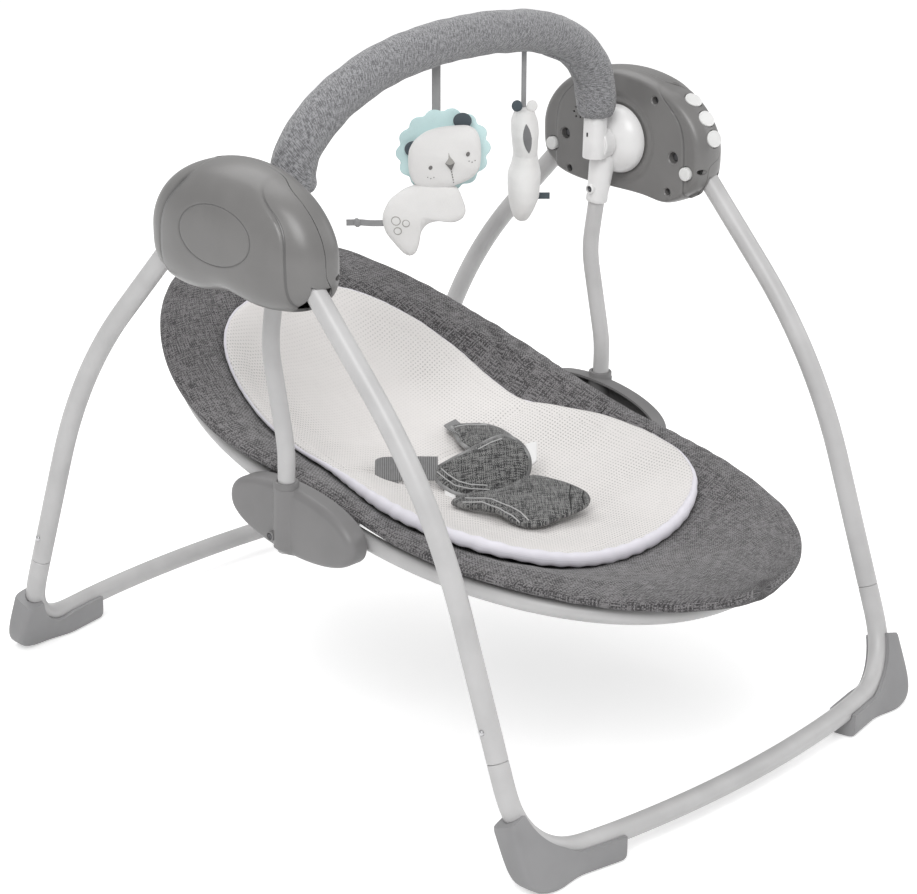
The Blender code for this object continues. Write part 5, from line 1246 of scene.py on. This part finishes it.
PAD_DARK, PAD_LIGHT = (0.040, 0.040, 0.041), (0.285, 0.285, 0.280)
pad_cloth = melange("pad_melange", PAD_DARK, PAD_LIGHT, 0.00095, 0.2, 0.7, 0.06, True).material
twill = Finish("grey_twill_tape", Roughness=0.5, Sheen_Weight=0.2)
twill_rib = twill.surface((1 / 0.0009, 1 / 0.0009, 1), 0.7).axis("X").rib()
twill_light = twill.noise(twill.surface(), 45.0, 2.0).between(0.40, 0.70)
twill.colour(twill.mix(twill_light, (0.12, 0.12, 0.12), (0.34, 0.34, 0.34)))
twill.rough(0.55 - 0.2 * twill_light)
twill.bump(twill_rib, 0.0002, 0.5)
satin_line = moulded("pale_piping", (0.46, 0.46, 0.46), 0.5, 2500.0).material
web = Finish("grey_webbing", Roughness=0.7, Sheen_Weight=0.2)
web_rib = web.surface((1 / 0.0021, 1 / 0.0021, 1)).axis("Y").rib()
web_tone = web.noise(web.surface((1, 1, 1)), 300.0, 2.0)
# Painted shade in the hollows between the ribs, from near black there to grey on the ribs, with a random tone
# over it
web.colour(web.mix(web_rib * 0.75 + web_tone * 0.25, (0.045, 0.045, 0.046), (0.30, 0.30, 0.302)))
web.bump(web_rib, 0.0003, 0.7)


def strap(name, path, across, half, thick, finish):
    """Flat webbing along a path: a rounded oblong section, its width along one way and its thickness
    square to it."""
    path = flowing(np.asarray(path, float), 0.0012, 8)
    ways = directions(path)
    across = unit(np.asarray(across, float))
    up = unit(np.cross(ways, across))
    turn = turns(24)
    wide, tall = half * drawn(np.cos(turn), 0.35), thick / 2 * drawn(np.sin(turn), 0.5)
    grid = path[:, None] + across * wide[None, :, None] + up[:, None] * tall[None, :, None]
    return skin(name, grid, finish, sharp=60)


PADS_ALONG = (0.696, -0.718, 0.0)
LEFT_PAD = np.array([
    (-0.052, -0.003), (-0.043, 0.003), (-0.032, 0.010), (-0.019, 0.017), (-0.007, 0.024), (0.005, 0.031),
    (0.017, 0.036), (0.029, 0.032), (0.038, 0.023), (0.043, 0.012), (0.043, -0.001), (0.038, -0.013),
    (0.029, -0.022), (0.016, -0.028), (0, -0.030), (-0.016, -0.029), (-0.032, -0.025), (-0.045, -0.016),
])
RIGHT_PAD = np.array([
    (-0.032, 0.017), (-0.020, 0.020), (-0.008, 0.021), (0.004, 0.020), (0.016, 0.014), (0.027, 0.004),
    (0.034, -0.009), (0.031, -0.022), (0.018, -0.029), (0.003, -0.027), (-0.011, -0.020), (-0.022, -0.008),
    (-0.028, 0.006),
])
CROTCH_PAD = np.array([
    (-0.071, -0.003), (-0.059, 0.009), (-0.039, 0.012), (-0.020, 0.017), (-0.006, 0.028), (0.009, 0.040),
    (0.024, 0.036), (0.042, 0.028), (0.058, 0.018), (0.066, 0.008), (0.064, -0.005), (0.052, -0.015),
    (0.036, -0.025), (0.020, -0.035), (0.004, -0.038), (-0.010, -0.031), (-0.020, -0.019), (-0.034, -0.011),
    (-0.055, -0.010),
])
# Each pad: its outline, its middle, the way across it, and how thick it is
HARNESS = {
    "left_waist_pad": (LEFT_PAD, (-0.0016, -0.0476, 0.2293), (0.508, 0.492, 0.707), 0.013),
    "right_waist_pad": (RIGHT_PAD, (0.0574, 0.0118, 0.2287), (0.675, 0.654, 0.342), 0.012),
    "crotch_pad": (CROTCH_PAD, (-0.0102, -0.1037, 0.2142), (0.683, 0.662, 0.309), 0.014),
}
# Each line over a pad, and whether its thread is pale
SEAMS = {
    "left_waist_pad": [
        (((-0.0459, -0.0045), (-0.0382, -0.012), (-0.0288, -0.019), (-0.0146, -0.0225), (0.004, -0.0235)), 1),
        (((-0.042, -0.0015), (-0.0352, -0.0085), (-0.0258, -0.015), (-0.0136, -0.0185), (0.002, -0.0195)), 1),
        (((-0.0071, 0.0185), (0.0050, 0.0255), (0.0160, 0.0300)), 1),
    ],
    "right_waist_pad": [(((-0.0280, 0.0130), (-0.0120, 0.0160), (0.0040, 0.0150)), 1)],
    "crotch_pad": [
        (((-0.056, -0.006), (-0.038, -0.0075), (-0.0213, -0.0145), (-0.0103, -0.025), (-0.0032, -0.033)), 1),
        (((-0.054, -0.001), (-0.0286, -0.004), (-0.0111, -0.0145), (-0.002, -0.023), (0.0052, -0.032)), 1),
        (((0.0455, 0.0200), (0.0440, 0.0040), (0.0450, -0.0150)), 0),
        (((0.0575, 0.0120), (0.0560, 0.0020), (0.0575, -0.0080)), 0),
    ],
}


def face_rise(outline, thick, bow, u, v):
    """How high a stuffed piece's face stands at a place, by the same rule as stuffed, with the share
    measured from the middle towards its outline."""
    angles = np.arctan2(outline[:, 1], outline[:, 0])
    order = np.argsort(angles)
    reach = np.interp(np.arctan2(v, u), angles[order], np.hypot(*outline.T)[order], period=2 * pi)
    return thick / 2 * np.maximum(0, 1 - (np.hypot(u, v) / reach) ** 2) ** bow


PAD_BOW, PAD_SEED, PAD_SWELL = 0.36, 3, 0.98
for node, (shape, centre, across, thick) in HARNESS.items():
    shape, axes = even_outline(shape), ways_of(PADS_ALONG, across)
    rough = 0.13 if node == "crotch_pad" else 0.06
    name = node + "_cushion"
    pad = stuffed(name, shape, centre, axes, thick, pad_cloth, PAD_BOW, PAD_SEED, PAD_SWELL, rough)
    cords = []
    for spots, pale in SEAMS[node]:
        spots = np.array(spots)
        even = np.linspace(0, len(spots) - 1, 26)
        u, v = (np.interp(even, np.arange(len(spots)), spots[:, k]) for k in (0, 1))
        rise = face_rise(shape * PAD_SWELL, thick, PAD_BOW, u, v)
        lift = rise * (1 + rough * wave(u * 2.2, v * 2.2, PAD_SEED)) + 0.0002
        route = np.asarray(centre) + u[:, None] * axes[0] + v[:, None] * axes[1] + lift[:, None] * axes[2]
        cord_thread = satin_line if pale else dark_seam
        cords.append(swept("cord", route, 0.0006, axes[2], cord_thread, 10, 0.0003))
    pieces = [pad, merged(node + "_stitched_lines", cords)]
    if node != "crotch_pad":
        name, inner_edge = node + "_binding", shape * 0.965
        pieces.append(rope_round(name, inner_edge, centre, axes, (0.0025, 0.0021), 0.0003, twill.material))
    for piece in pieces:
        fit(piece, "seat")
    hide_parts(node)
LEFT_BELT = [
    (-0.034, -0.016, 0.2300), (-0.060, -0.001, 0.2335), (-0.083, 0.012, 0.2350),
    (-0.0885, 0.0150, 0.2325), (-0.083, 0.0090, 0.2300), (-0.070, 0.0005, 0.2280),
]
RIGHT_BELT = [(0.053, 0.030, 0.2320), (0.050, 0.044, 0.2345), (0.056, 0.056, 0.2342)]
for side_name, across, half, route in (
    ("left", (0.45, 0.45, 0.77), 0.0120, LEFT_BELT), ("right", (1, 0.2, 0), 0.0110, RIGHT_BELT),
):
    belt = strap(side_name + "_waist_strap", route, across, half, 0.0017, web.material)
    fit(belt, "seat")

# The buckle's body fills the box between two corners, and its two ends lie in the left pad's plane
low, high = np.array([0.010, -0.048, 0.2146]), np.array([0.056, -0.0245, 0.2230])
middle, half = (low + high) / 2, (high - low) / 2
turn = turns(64)
oblong = np.stack([drawn(np.cos(turn), 0.30) * half[0], drawn(np.sin(turn), 0.45) * half[1]], 1)
sizes = np.array([0.02, 0.5, 0.90, 0.96, 0.99, 1.0, 1.0, 0.99, 0.96, 0.90, 0.5, 0.02])
levels = np.array([-1, -1, -1, -0.9, -0.7, -0.4, 0.4, 0.7, 0.9, 1, 1, 1.0]) * half[2]
flat = middle[:2] + oblong[None] * sizes[:, None, None]
heights = np.broadcast_to(middle[2] + levels[:, None, None], (*flat.shape[:2], 1))
tabs = [skin("buckle_body", np.concatenate([flat, heights], -1), cap_plastic)]
_, pad_middle, pad_across, _ = HARNESS["left_waist_pad"]
along, lean = unit(np.array(PADS_ALONG)), unit(np.array(pad_across))
for corners in ([(0.0380, 0.0264), (0.0492, 0.0296), (0.0490, 0.0087), (0.0410, 0.0024)],
                [(-0.0391, -0.0181), (-0.0279, -0.0149), (-0.0278, -0.0356), (-0.0372, -0.0390)]):
    corners = np.repeat(np.array(corners), 6, axis=0)
    heart = corners.mean(0)
    spot = np.array(pad_middle) + along * heart[0] + lean * heart[1] + np.cross(along, lean) * -0.0025
    outline, axes = even_outline(corners, heart), ways_of(along, lean)
    tabs.append(stuffed("buckle_end", outline, spot, axes, 0.0060, cap_plastic, 0.12, 4, 1.0, 0.0))
buckle = merged("buckle_halves", tabs)
fit(buckle, "seat", "harness_buckle")


# Toy bar
# A padded sleeve of light grey jersey over a steel rod, with a seam along its inside and gathers at
# each end where it goes into a white clip. The clips turn on the caps.
BAR_HALF, BAR_BASE, BAR_RISE, BAR_R, DRUM_X, NOTCH_X = 0.200, 0.5283, 0.099, 0.0198, 0.2137, 0.1885
t = np.linspace(0, pi, 220)
c, s = np.cos(t), np.abs(np.sin(t))
fullness = np.where(c > 0, 2.6, 2.0)
height = BAR_BASE + 0.006 + BAR_RISE * s ** (2 / fullness)
arch = np.stack([BAR_HALF * drawn(c, 2 / fullness), 0 * t, height], 1)
arch = np.vstack([[(BAR_HALF, 0, BAR_BASE)], arch, [(-BAR_HALF, 0, BAR_BASE)]])
line = flowing(arch, 0.0030, 12)
run = runs_of(line)
from_end, from_near = np.minimum(run, run[-1] - run)[:, None], (run[-1] - run)[:, None]
turn = turns(96)[None]
radius = BAR_R - 0.0045 * np.exp(-from_end / 0.006) + 0.0022 * bell(from_near - 0.010, 0.008)
gather = np.exp(-from_end / 0.026) + 0.35 * np.exp(-from_near / 0.070)
radius = radius + 0.0010 * np.sin(turn * 9 + 3 * np.sin(run[:, None] * 60)) * gather
radius = radius + 0.0005 * wave(run[:, None] * 1.3, turn * 0.02, 12)
radius = radius - 0.0010 * bell(turn - pi, 0.06)
jersey = Finish("grey_jersey", Roughness=0.9, Sheen_Weight=0.35, Sheen_Roughness=0.5)
streaks = jersey.noise(jersey.surface((170.0, 1150.0, 1), 0.45), 1.0, 2.0, 0.7)
loops = jersey.noise(jersey.surface((1000.0, 260.0, 1), 0.45), 1.0, 1.0, 0.5)
stitch = jersey.surface((1 / 0.0007, 1 / 0.0007, 1)).axis("X").rib()
fibre = (streaks * 0.75 + loops * 0.25).between(0.40, 0.60)
yarn = jersey.mix(fibre, (0.130, 0.130, 0.137), (0.385, 0.385, 0.398))
# Painted shade: the hollows between the stitch ribs get up to a quarter of near black
jersey.colour(jersey.mix(stitch * 0.25 + 0.75, (0.06, 0.06, 0.064), yarn))
jersey.bump(stitch * 0.5 + fibre * 0.5, 0.0003, 0.7)
sleeve = swept("padded_sleeve", line, radius, (0, 1, 0), jersey.material, 96, 0.0012)
fit(sleeve, "toy_bar", "toy_bar_cover")
ways = directions(line)
inward = np.cross((0, 1.0, 0), ways)
forward = np.cross(ways, inward)
CORD_FROM, CORD_TO, CORD_TURN, CORD_OUT = 0.008, 0.150, 1.07 * pi, 0.0202
cord = (run > CORD_FROM) & (run < CORD_TO)
sunk = 0.0042 * (bell(run - CORD_FROM, 0.005) + bell(run - CORD_TO, 0.016))[:, None]
hug = (CORD_OUT - sunk) * (cos(CORD_TURN) * inward + sin(CORD_TURN) * forward)
edge_cord = swept("sleeve_piping", (line + hug)[cord], 0.0016, (0, 1, 0), jersey.material, 14, 0.0004)
fit(edge_cord, "toy_bar")
repaint("toy_bar_rod", steel.material)
for side_name, side in SIDES.items():
    profile = [(0.0, 0.0146), (0.0006, 0.0153), (0.0126, 0.0153), (0.0133, 0.0146), (0.0135, 0.0060)]
    drum = turned_piece("drum", (side * DRUM_X, 0, AXLE_Z), (-side, 0, 0), profile, cap_plastic, 72)
    profile = [(-0.0130, 0.0030), (-0.0130, 0.0112), (-0.0127, 0.0118), (-0.0120, 0.0120), (0.0272, 0.01125),
               (0.0280, 0.0108), (0.0280, 0.0065)]
    neck = turned_piece("neck", (side * BAR_HALF, 0, AXLE_Z), (0, 0, 1), profile, cap_plastic, 56)
    # Painted shade: the notch is a near-black bar on the white clip, standing in for the shade in its hollow
    notch = [(side * NOTCH_X, 0, z) for z in (0.5095, 0.5135)]
    notch = swept("notch", notch, 0.0009, (0, 1, 0), dark_seam, 14, 0.0003)
    clip = merged(side_name + "_bar_clip", [drum, neck, notch])
    fit(clip, "toy_bar", side_name + "_toy_bar_clip")


# Hanging toys
# Two stuffed animals of white short-pile plush on grey satin ribbons: a lion with a scalloped felt
# mane, felt ears and a knotted tail, and a bear seen edge on. Their faces are embroidered.
TOYS_TURN = radians(44)
FACING = np.array([-sin(TOYS_TURN), -cos(TOYS_TURN), 0])
SIDEWAYS = np.array([cos(TOYS_TURN), -sin(TOYS_TURN), 0])
UP = np.array([0, 0, 1.0])
TOY_WAYS = ways_of(SIDEWAYS, UP)


def oval(long, wide, tilt, lobes=0, depth=0.0, count=112, power=1.0):
    """A tilted oval outline, scalloped when it has lobes."""
    a = turns(count)
    grow = 1 + depth * np.abs(np.sin(lobes * a / 2)) if lobes else 1 + 0 * a
    u, v = long * grow * drawn(np.cos(a), power), wide * grow * drawn(np.sin(a), power)
    return np.stack([u * cos(tilt) - v * sin(tilt), u * sin(tilt) + v * cos(tilt)], 1)


def short_pile(name, colour):
    """Short-pile plush: fine tufts that catch light along their tips."""
    pile = Finish(name, Roughness=0.95, Sheen_Weight=0.6, Sheen_Roughness=0.4)
    tufts = pile.noise(pile.place(), 1100.0, 3.0, 0.7)
    cloud = pile.noise(pile.place(), 90.0, 2.0)
    pile.colour(pile.mix(tufts * 0.6 + cloud * 0.4, toned(colour, 0.88), colour))
    pile.bump(tufts + cloud * 0.8, 0.0006, 0.5)
    return pile.material


plush_white = short_pile("white_plush", (0.83, 0.82, 0.81))
felt_aqua = short_pile("aqua_felt", (0.66, 0.86, 0.865))
felt_dark = short_pile("dark_felt", (0.080, 0.10, 0.115))
thread = moulded("embroidery_thread", (0.16, 0.155, 0.15), 0.6, 3000.0).material
pale_thread = moulded("pale_thread", (0.40, 0.39, 0.37), 0.6, 3000.0).material
satin = Finish("grey_satin_ribbon", Roughness=0.45, Sheen_Weight=0.2)
satin_rib = satin.surface((1 / 0.0006, 1 / 0.0006, 1)).axis("Y").rib()
satin_tone = satin.noise(satin.surface(), 120.0, 2.0)
# Painted shade between the ribs, with a random tone over it
satin.colour(satin.mix(satin_rib * 0.5 + satin_tone * 0.5, (0.22, 0.22, 0.225), (0.33, 0.33, 0.335)))
satin.bump(satin_rib, 0.0001, 0.5)

LION = np.array([-0.0200, 0, 0.5665])
BEAR = np.array([0.0970, 0, 0.5565])


def on_lion(u, v, depth):
    """A place in the lion's own plane: across, up and towards its face."""
    return LION + SIDEWAYS * u + UP * v + FACING * depth


HEAD_MIDDLE, HEAD_THICK, HEAD_DEPTH, PLUSH_BOW = np.array([0.0080, -0.0365]), 0.0270, 0.0135, 0.40
HEAD = even_outline(np.array([
    (-0.0256, -0.0488), (-0.0260, -0.0381), (-0.0255, -0.0287), (-0.0203, -0.0194), (-0.0099, -0.0115),
    (0.0031, -0.0076), (0.0160, -0.0063), (0.0290, -0.0058), (0.0368, -0.0104), (0.0400, -0.0197),
    (0.0408, -0.0330), (0.0396, -0.0464), (0.0331, -0.0544), (0.0240, -0.0590), (0.0110, -0.0637),
    (-0.0021, -0.0650), (-0.0125, -0.0642), (-0.0217, -0.0595),
]), HEAD_MIDDLE)
TORSO_MIDDLE, TORSO_THICK, TORSO_DEPTH = np.array([-0.0140, -0.0880]), 0.0260, 0.0130
TORSO = even_outline(np.array([
    (0.0060, -0.0580), (0.0200, -0.0640), (0.0235, -0.0735), (0.0275, -0.0850), (0.0260, -0.0920),
    (0.0180, -0.0970), (0.0040, -0.0945), (-0.0080, -0.0970), (-0.0145, -0.1050), (-0.0155, -0.1155),
    (-0.0185, -0.1260), (-0.0250, -0.1300), (-0.0320, -0.1250), (-0.0390, -0.1165), (-0.0475, -0.1060),
    (-0.0505, -0.0905), (-0.0440, -0.0760), (-0.0300, -0.0650), (-0.0100, -0.0580),
]), TORSO_MIDDLE)


def on_head(u, v, lift=0.0003):
    """A place on the lion's face, raised by lift."""
    rise = face_rise(HEAD, HEAD_THICK, PLUSH_BOW, u - HEAD_MIDDLE[0], v - HEAD_MIDDLE[1])
    return on_lion(u, v, HEAD_DEPTH + rise + lift)


def on_torso(u, v, lift=0.0003):
    """A place on the front of the lion's body, raised by lift."""
    rise = face_rise(TORSO, TORSO_THICK, PLUSH_BOW, u - TORSO_MIDDLE[0], v - TORSO_MIDDLE[1])
    return on_lion(u, v, TORSO_DEPTH + rise + lift)


def sewn(name, place, outline, finish, lift=0.0006):
    """A low patch that follows a stuffed face: its outline shrunk ring by ring, domed by lift."""
    outline = np.asarray(outline, float)
    heart = outline.mean(0)
    shares = np.array([1.0, 1.0, 0.92, 0.75, 0.5, 0.25, 0.02])
    lifts = np.array([-0.0008, 0.2, 0.7, 0.9, 1.0, 1.0, 1.0]) * np.where(np.arange(7) > 0, lift, 1.0)
    grid = [[place(*(heart + (spot - heart) * k), h) for spot in outline] for k, h in zip(shares, lifts)]
    return skin(name, grid, finish, sharp=180)


def stitch_line(name, place, spots, thin, finish):
    """A line of thread over a stuffed face."""
    spots = np.asarray(spots, float)
    path = [place(u, v, thin * 0.4) for u, v in spots]
    return swept(name, path, thin, (0.3, 0.2, 0.9), finish, 10, 0.0004)


def blunted(corners):
    """A sewn outline of five points to a corner, each drawn a fifth of the way to one two places back."""
    fives = np.repeat(np.array(corners), 5, axis=0)
    return fives * 0.8 + np.roll(fives, 2, axis=0) * 0.2


scallops = oval(0.0400, 0.0360, radians(15), 14, 0.10)
place = on_lion(0.0065, -0.0335, -0.0033)
mane = stuffed("lion_mane_felt", scallops, place, TOY_WAYS, 0.0060, felt_aqua, 0.30, 21)
place = on_lion(*HEAD_MIDDLE, HEAD_DEPTH)
head = stuffed("lion_head_plush", HEAD, place, TOY_WAYS, HEAD_THICK, plush_white, PLUSH_BOW, 22)
place = on_lion(*TORSO_MIDDLE, TORSO_DEPTH)
torso = stuffed("lion_body_plush", TORSO, place, TOY_WAYS, TORSO_THICK, plush_white, PLUSH_BOW, 23)
for piece, node in ((mane, "lion_mane"), (head, "lion_head"), (torso, "lion_body")):
    fit(piece, "lion", node)
face = []
for u, v in ((-0.0058, -0.0421), (0.0282, -0.0300)):
    face.append(sewn("eye", on_head, oval(0.0021, 0.0017, radians(60), count=28) + (u, v), thread, 0.0010))
nose = blunted([(0.0105, -0.0273), (0.0162, -0.0374), (0.0131, -0.0448), (0.0074, -0.0379)])
low_nose = blunted([(0.0162, -0.0374), (0.0131, -0.0448), (0.0074, -0.0379), (0.0118, -0.0392)])
face.append(sewn("nose", on_head, nose, pale_thread, 0.0009))
face.append(sewn("nose_tip", on_head, low_nose, thread, 0.0014))
for k in range(5):
    u, v = np.array([0.0134, -0.0462]) + np.array([0.0019, -0.0107]) * k / 4
    face.append(sewn("mouth_stitch", on_head, oval(0.0005, 0.0008, 0.2, count=10) + (u, v), thread, 0.0005))
for u, v in ((-0.0055, -0.0514), (0.0320, -0.0366)):
    for k in range(3):
        dot = oval(0.0005, 0.0005, 0, count=10) + (u + 0.0028 * (k - 1), v - 0.0012 * (k % 2))
        face.append(sewn("whisker_stitch", on_head, dot, thread, 0.0005))
for u, v, wide in ((-0.0374, -0.0927, 0.0040), (-0.0282, -0.0946, 0.0032), (-0.0358, -0.1024, 0.0034)):
    ring = oval(wide, wide, 0, count=28) + (u, v)
    face.append(stitch_line("ring_stitch", on_torso, np.vstack([ring, ring[:2]]), 0.00045, pale_thread))
face = merged("lion_embroidery", face)
ears = []
for u, v in ((0.0237, -0.0038), (-0.0206, -0.0300)):
    place = on_lion(u, v, 0.0050)
    ears.append(stuffed("ear", oval(0.0085, 0.0075, 0), place, TOY_WAYS, 0.0040, felt_dark, 0.4, 5))
ears = merged("lion_ears", ears)
TAIL_DEPTH = 0.012
tail_spots = ((-0.0470, -0.0979), (-0.0600, -0.0980), (-0.0700, -0.0970), (-0.0829, -0.0972))
tail_spots = [on_lion(u, v, TAIL_DEPTH) for u, v in tail_spots]
tail_ribbon = strap("tail_ribbon", tail_spots, UP, 0.0030, 0.0012, satin.material)
place = on_lion(-0.0729, -0.0973, TAIL_DEPTH)
knot = stuffed("tail_knot", oval(0.0034, 0.0044, 0.3), place, TOY_WAYS, 0.0062, satin.material, 0.5, 8)
tail = merged("lion_tail", [tail_ribbon, knot])
for piece in (face, ears, tail):
    fit(piece, "lion")
route = [LION + FACING * -0.0033 + UP * d for d in (-0.012, 0.010, 0.0485)]
hang = strap("lion_ribbon", route, SIDEWAYS, 0.0040, 0.0012, satin.material)
fit(hang, "lion")


def on_bear(u, v, depth):
    """A place in the bear's own plane, which stands edge on to the lion's."""
    return BEAR + FACING * u + UP * v + SIDEWAYS * depth


# Each bear row: height, its left and right edge, and half its depth from nose to back
BEAR_ROWS = np.array([
    (-0.0020, -0.0030, 0.0060, 0.010), (-0.0032, -0.0060, 0.0082, 0.016), (-0.0060, -0.0088, 0.0105, 0.021),
    (-0.0140, -0.0116, 0.0136, 0.027), (-0.0250, -0.0120, 0.0146, 0.030), (-0.0360, -0.0108, 0.0142, 0.028),
    (-0.0460, -0.0090, 0.0134, 0.024), (-0.0560, -0.0108, 0.0146, 0.026), (-0.0660, -0.0146, 0.0168, 0.032),
    (-0.0760, -0.0150, 0.0165, 0.035), (-0.0880, -0.0136, 0.0150, 0.034), (-0.0980, -0.0120, 0.0112, 0.029),
    (-0.1060, -0.0095, 0.0075, 0.020), (-0.1105, -0.0060, 0.0045, 0.012), (-0.1122, -0.0010, 0.0005, 0.003),
])


def bear_part(name, top, low):
    """A stretch of the bear: ellipses through its rows, closed by a soft rounding at each cut."""
    v = np.linspace(top, low, 56)
    left, right, deep = (np.interp(-v, -BEAR_ROWS[:, 0], BEAR_ROWS[:, k]) for k in (1, 2, 3))
    blur = np.array([1, 2, 3, 2, 1]) / 9
    left, right, deep = (np.convolve(np.pad(k, 2, "edge"), blur, "valid") for k in (left, right, deep))
    shut = np.clip((v - low) / 0.002, 0.03, 1) ** 0.5 * np.clip((top - v) / 0.002, 0.03, 1) ** 0.5
    half, deep = (right - left) / 2 * shut, deep * shut
    turn = turns(72, 0)
    flat = ((left + right) / 2)[:, None] + half[:, None] * drawn(np.cos(turn), 0.9)
    long = 0.0010 + deep[:, None] * np.sin(turn)
    flat = flat * (1 + 0.03 * wave(long * 2.2, v[:, None] * 2.2, 33))
    grid = BEAR + flat[..., None] * SIDEWAYS + long[..., None] * FACING + v[:, None, None] * UP
    return skin(name, grid, plush_white, sharp=180)


bear_head = bear_part("bear_head_plush", -0.0020, -0.0490)
bear_body = bear_part("bear_body_plush", -0.0432, -0.1122)
for piece, node in ((bear_head, "bear_head"), (bear_body, "bear_body")):
    fit(piece, "bear", node)
# A grey felt patch follows the bear's face
rows = np.linspace(0, 1, 24)[:, None]
cols = np.linspace(-1, 1, 13)[None]
v = -0.0118 - 0.0282 * rows + 0 * cols
u = 0.0026 + 0.0044 * np.sin(pi * rows) ** 0.8 * cols - 0.0030 * (0.5 - rows)
left, right, deep = (np.interp(-v, -BEAR_ROWS[:, 0], BEAR_ROWS[:, k]) for k in (1, 2, 3))
from_heart = (u - (right + left) / 2) / ((right - left) / 2)
rim = 0.0012 + deep * np.sqrt(np.maximum(0, 1 - from_heart**2))
lift = 0.0006 * (1 - np.abs(cols) ** 4)
flat = BEAR + UP * v[..., None] + SIDEWAYS * u[..., None]
front, back = (flat + FACING * depth[..., None] for depth in (rim + lift, rim - 0.001))
grey_felt = short_pile("grey_felt", (0.20, 0.20, 0.205))
patch = skin("bear_patch", np.concatenate([front, back[:, ::-1]], 1), grey_felt, sharp=60)
ear = oval(0.0052, 0.0055, 0)
place = on_bear(0.009, 0.0012, -0.0066)
dark_ear = stuffed("dark_ear", ear, place, TOY_WAYS, 0.0040, felt_dark, 0.4, 5)
ears = merged("bear_dark_ear", [dark_ear, patch])
place = on_bear(0.009, 0.0012, 0.0076)
light_ear = stuffed("bear_light_ear", ear, place, TOY_WAYS, 0.0040, plush_white, 0.4, 6)
route = [on_bear(0.004, -0.0872, d) for d in (0.0135, 0.0200, 0.0257)]
stub = strap("bear_tail", route, UP, 0.0032, 0.0014, felt_dark)
for piece in (ears, light_ear, stub):
    fit(piece, "bear")
route = [BEAR + UP * d for d in (-0.010, 0.010, 0.0535)]
hang = strap("bear_ribbon", route, SIDEWAYS, 0.0024, 0.0012, satin.material)
fit(hang, "bear")


# Last steps
# CAD nodes without a finish lose their empty slot.
for node in nodes.values():
    if any(material is None for material in node.data.materials):
        node.data.materials.clear()
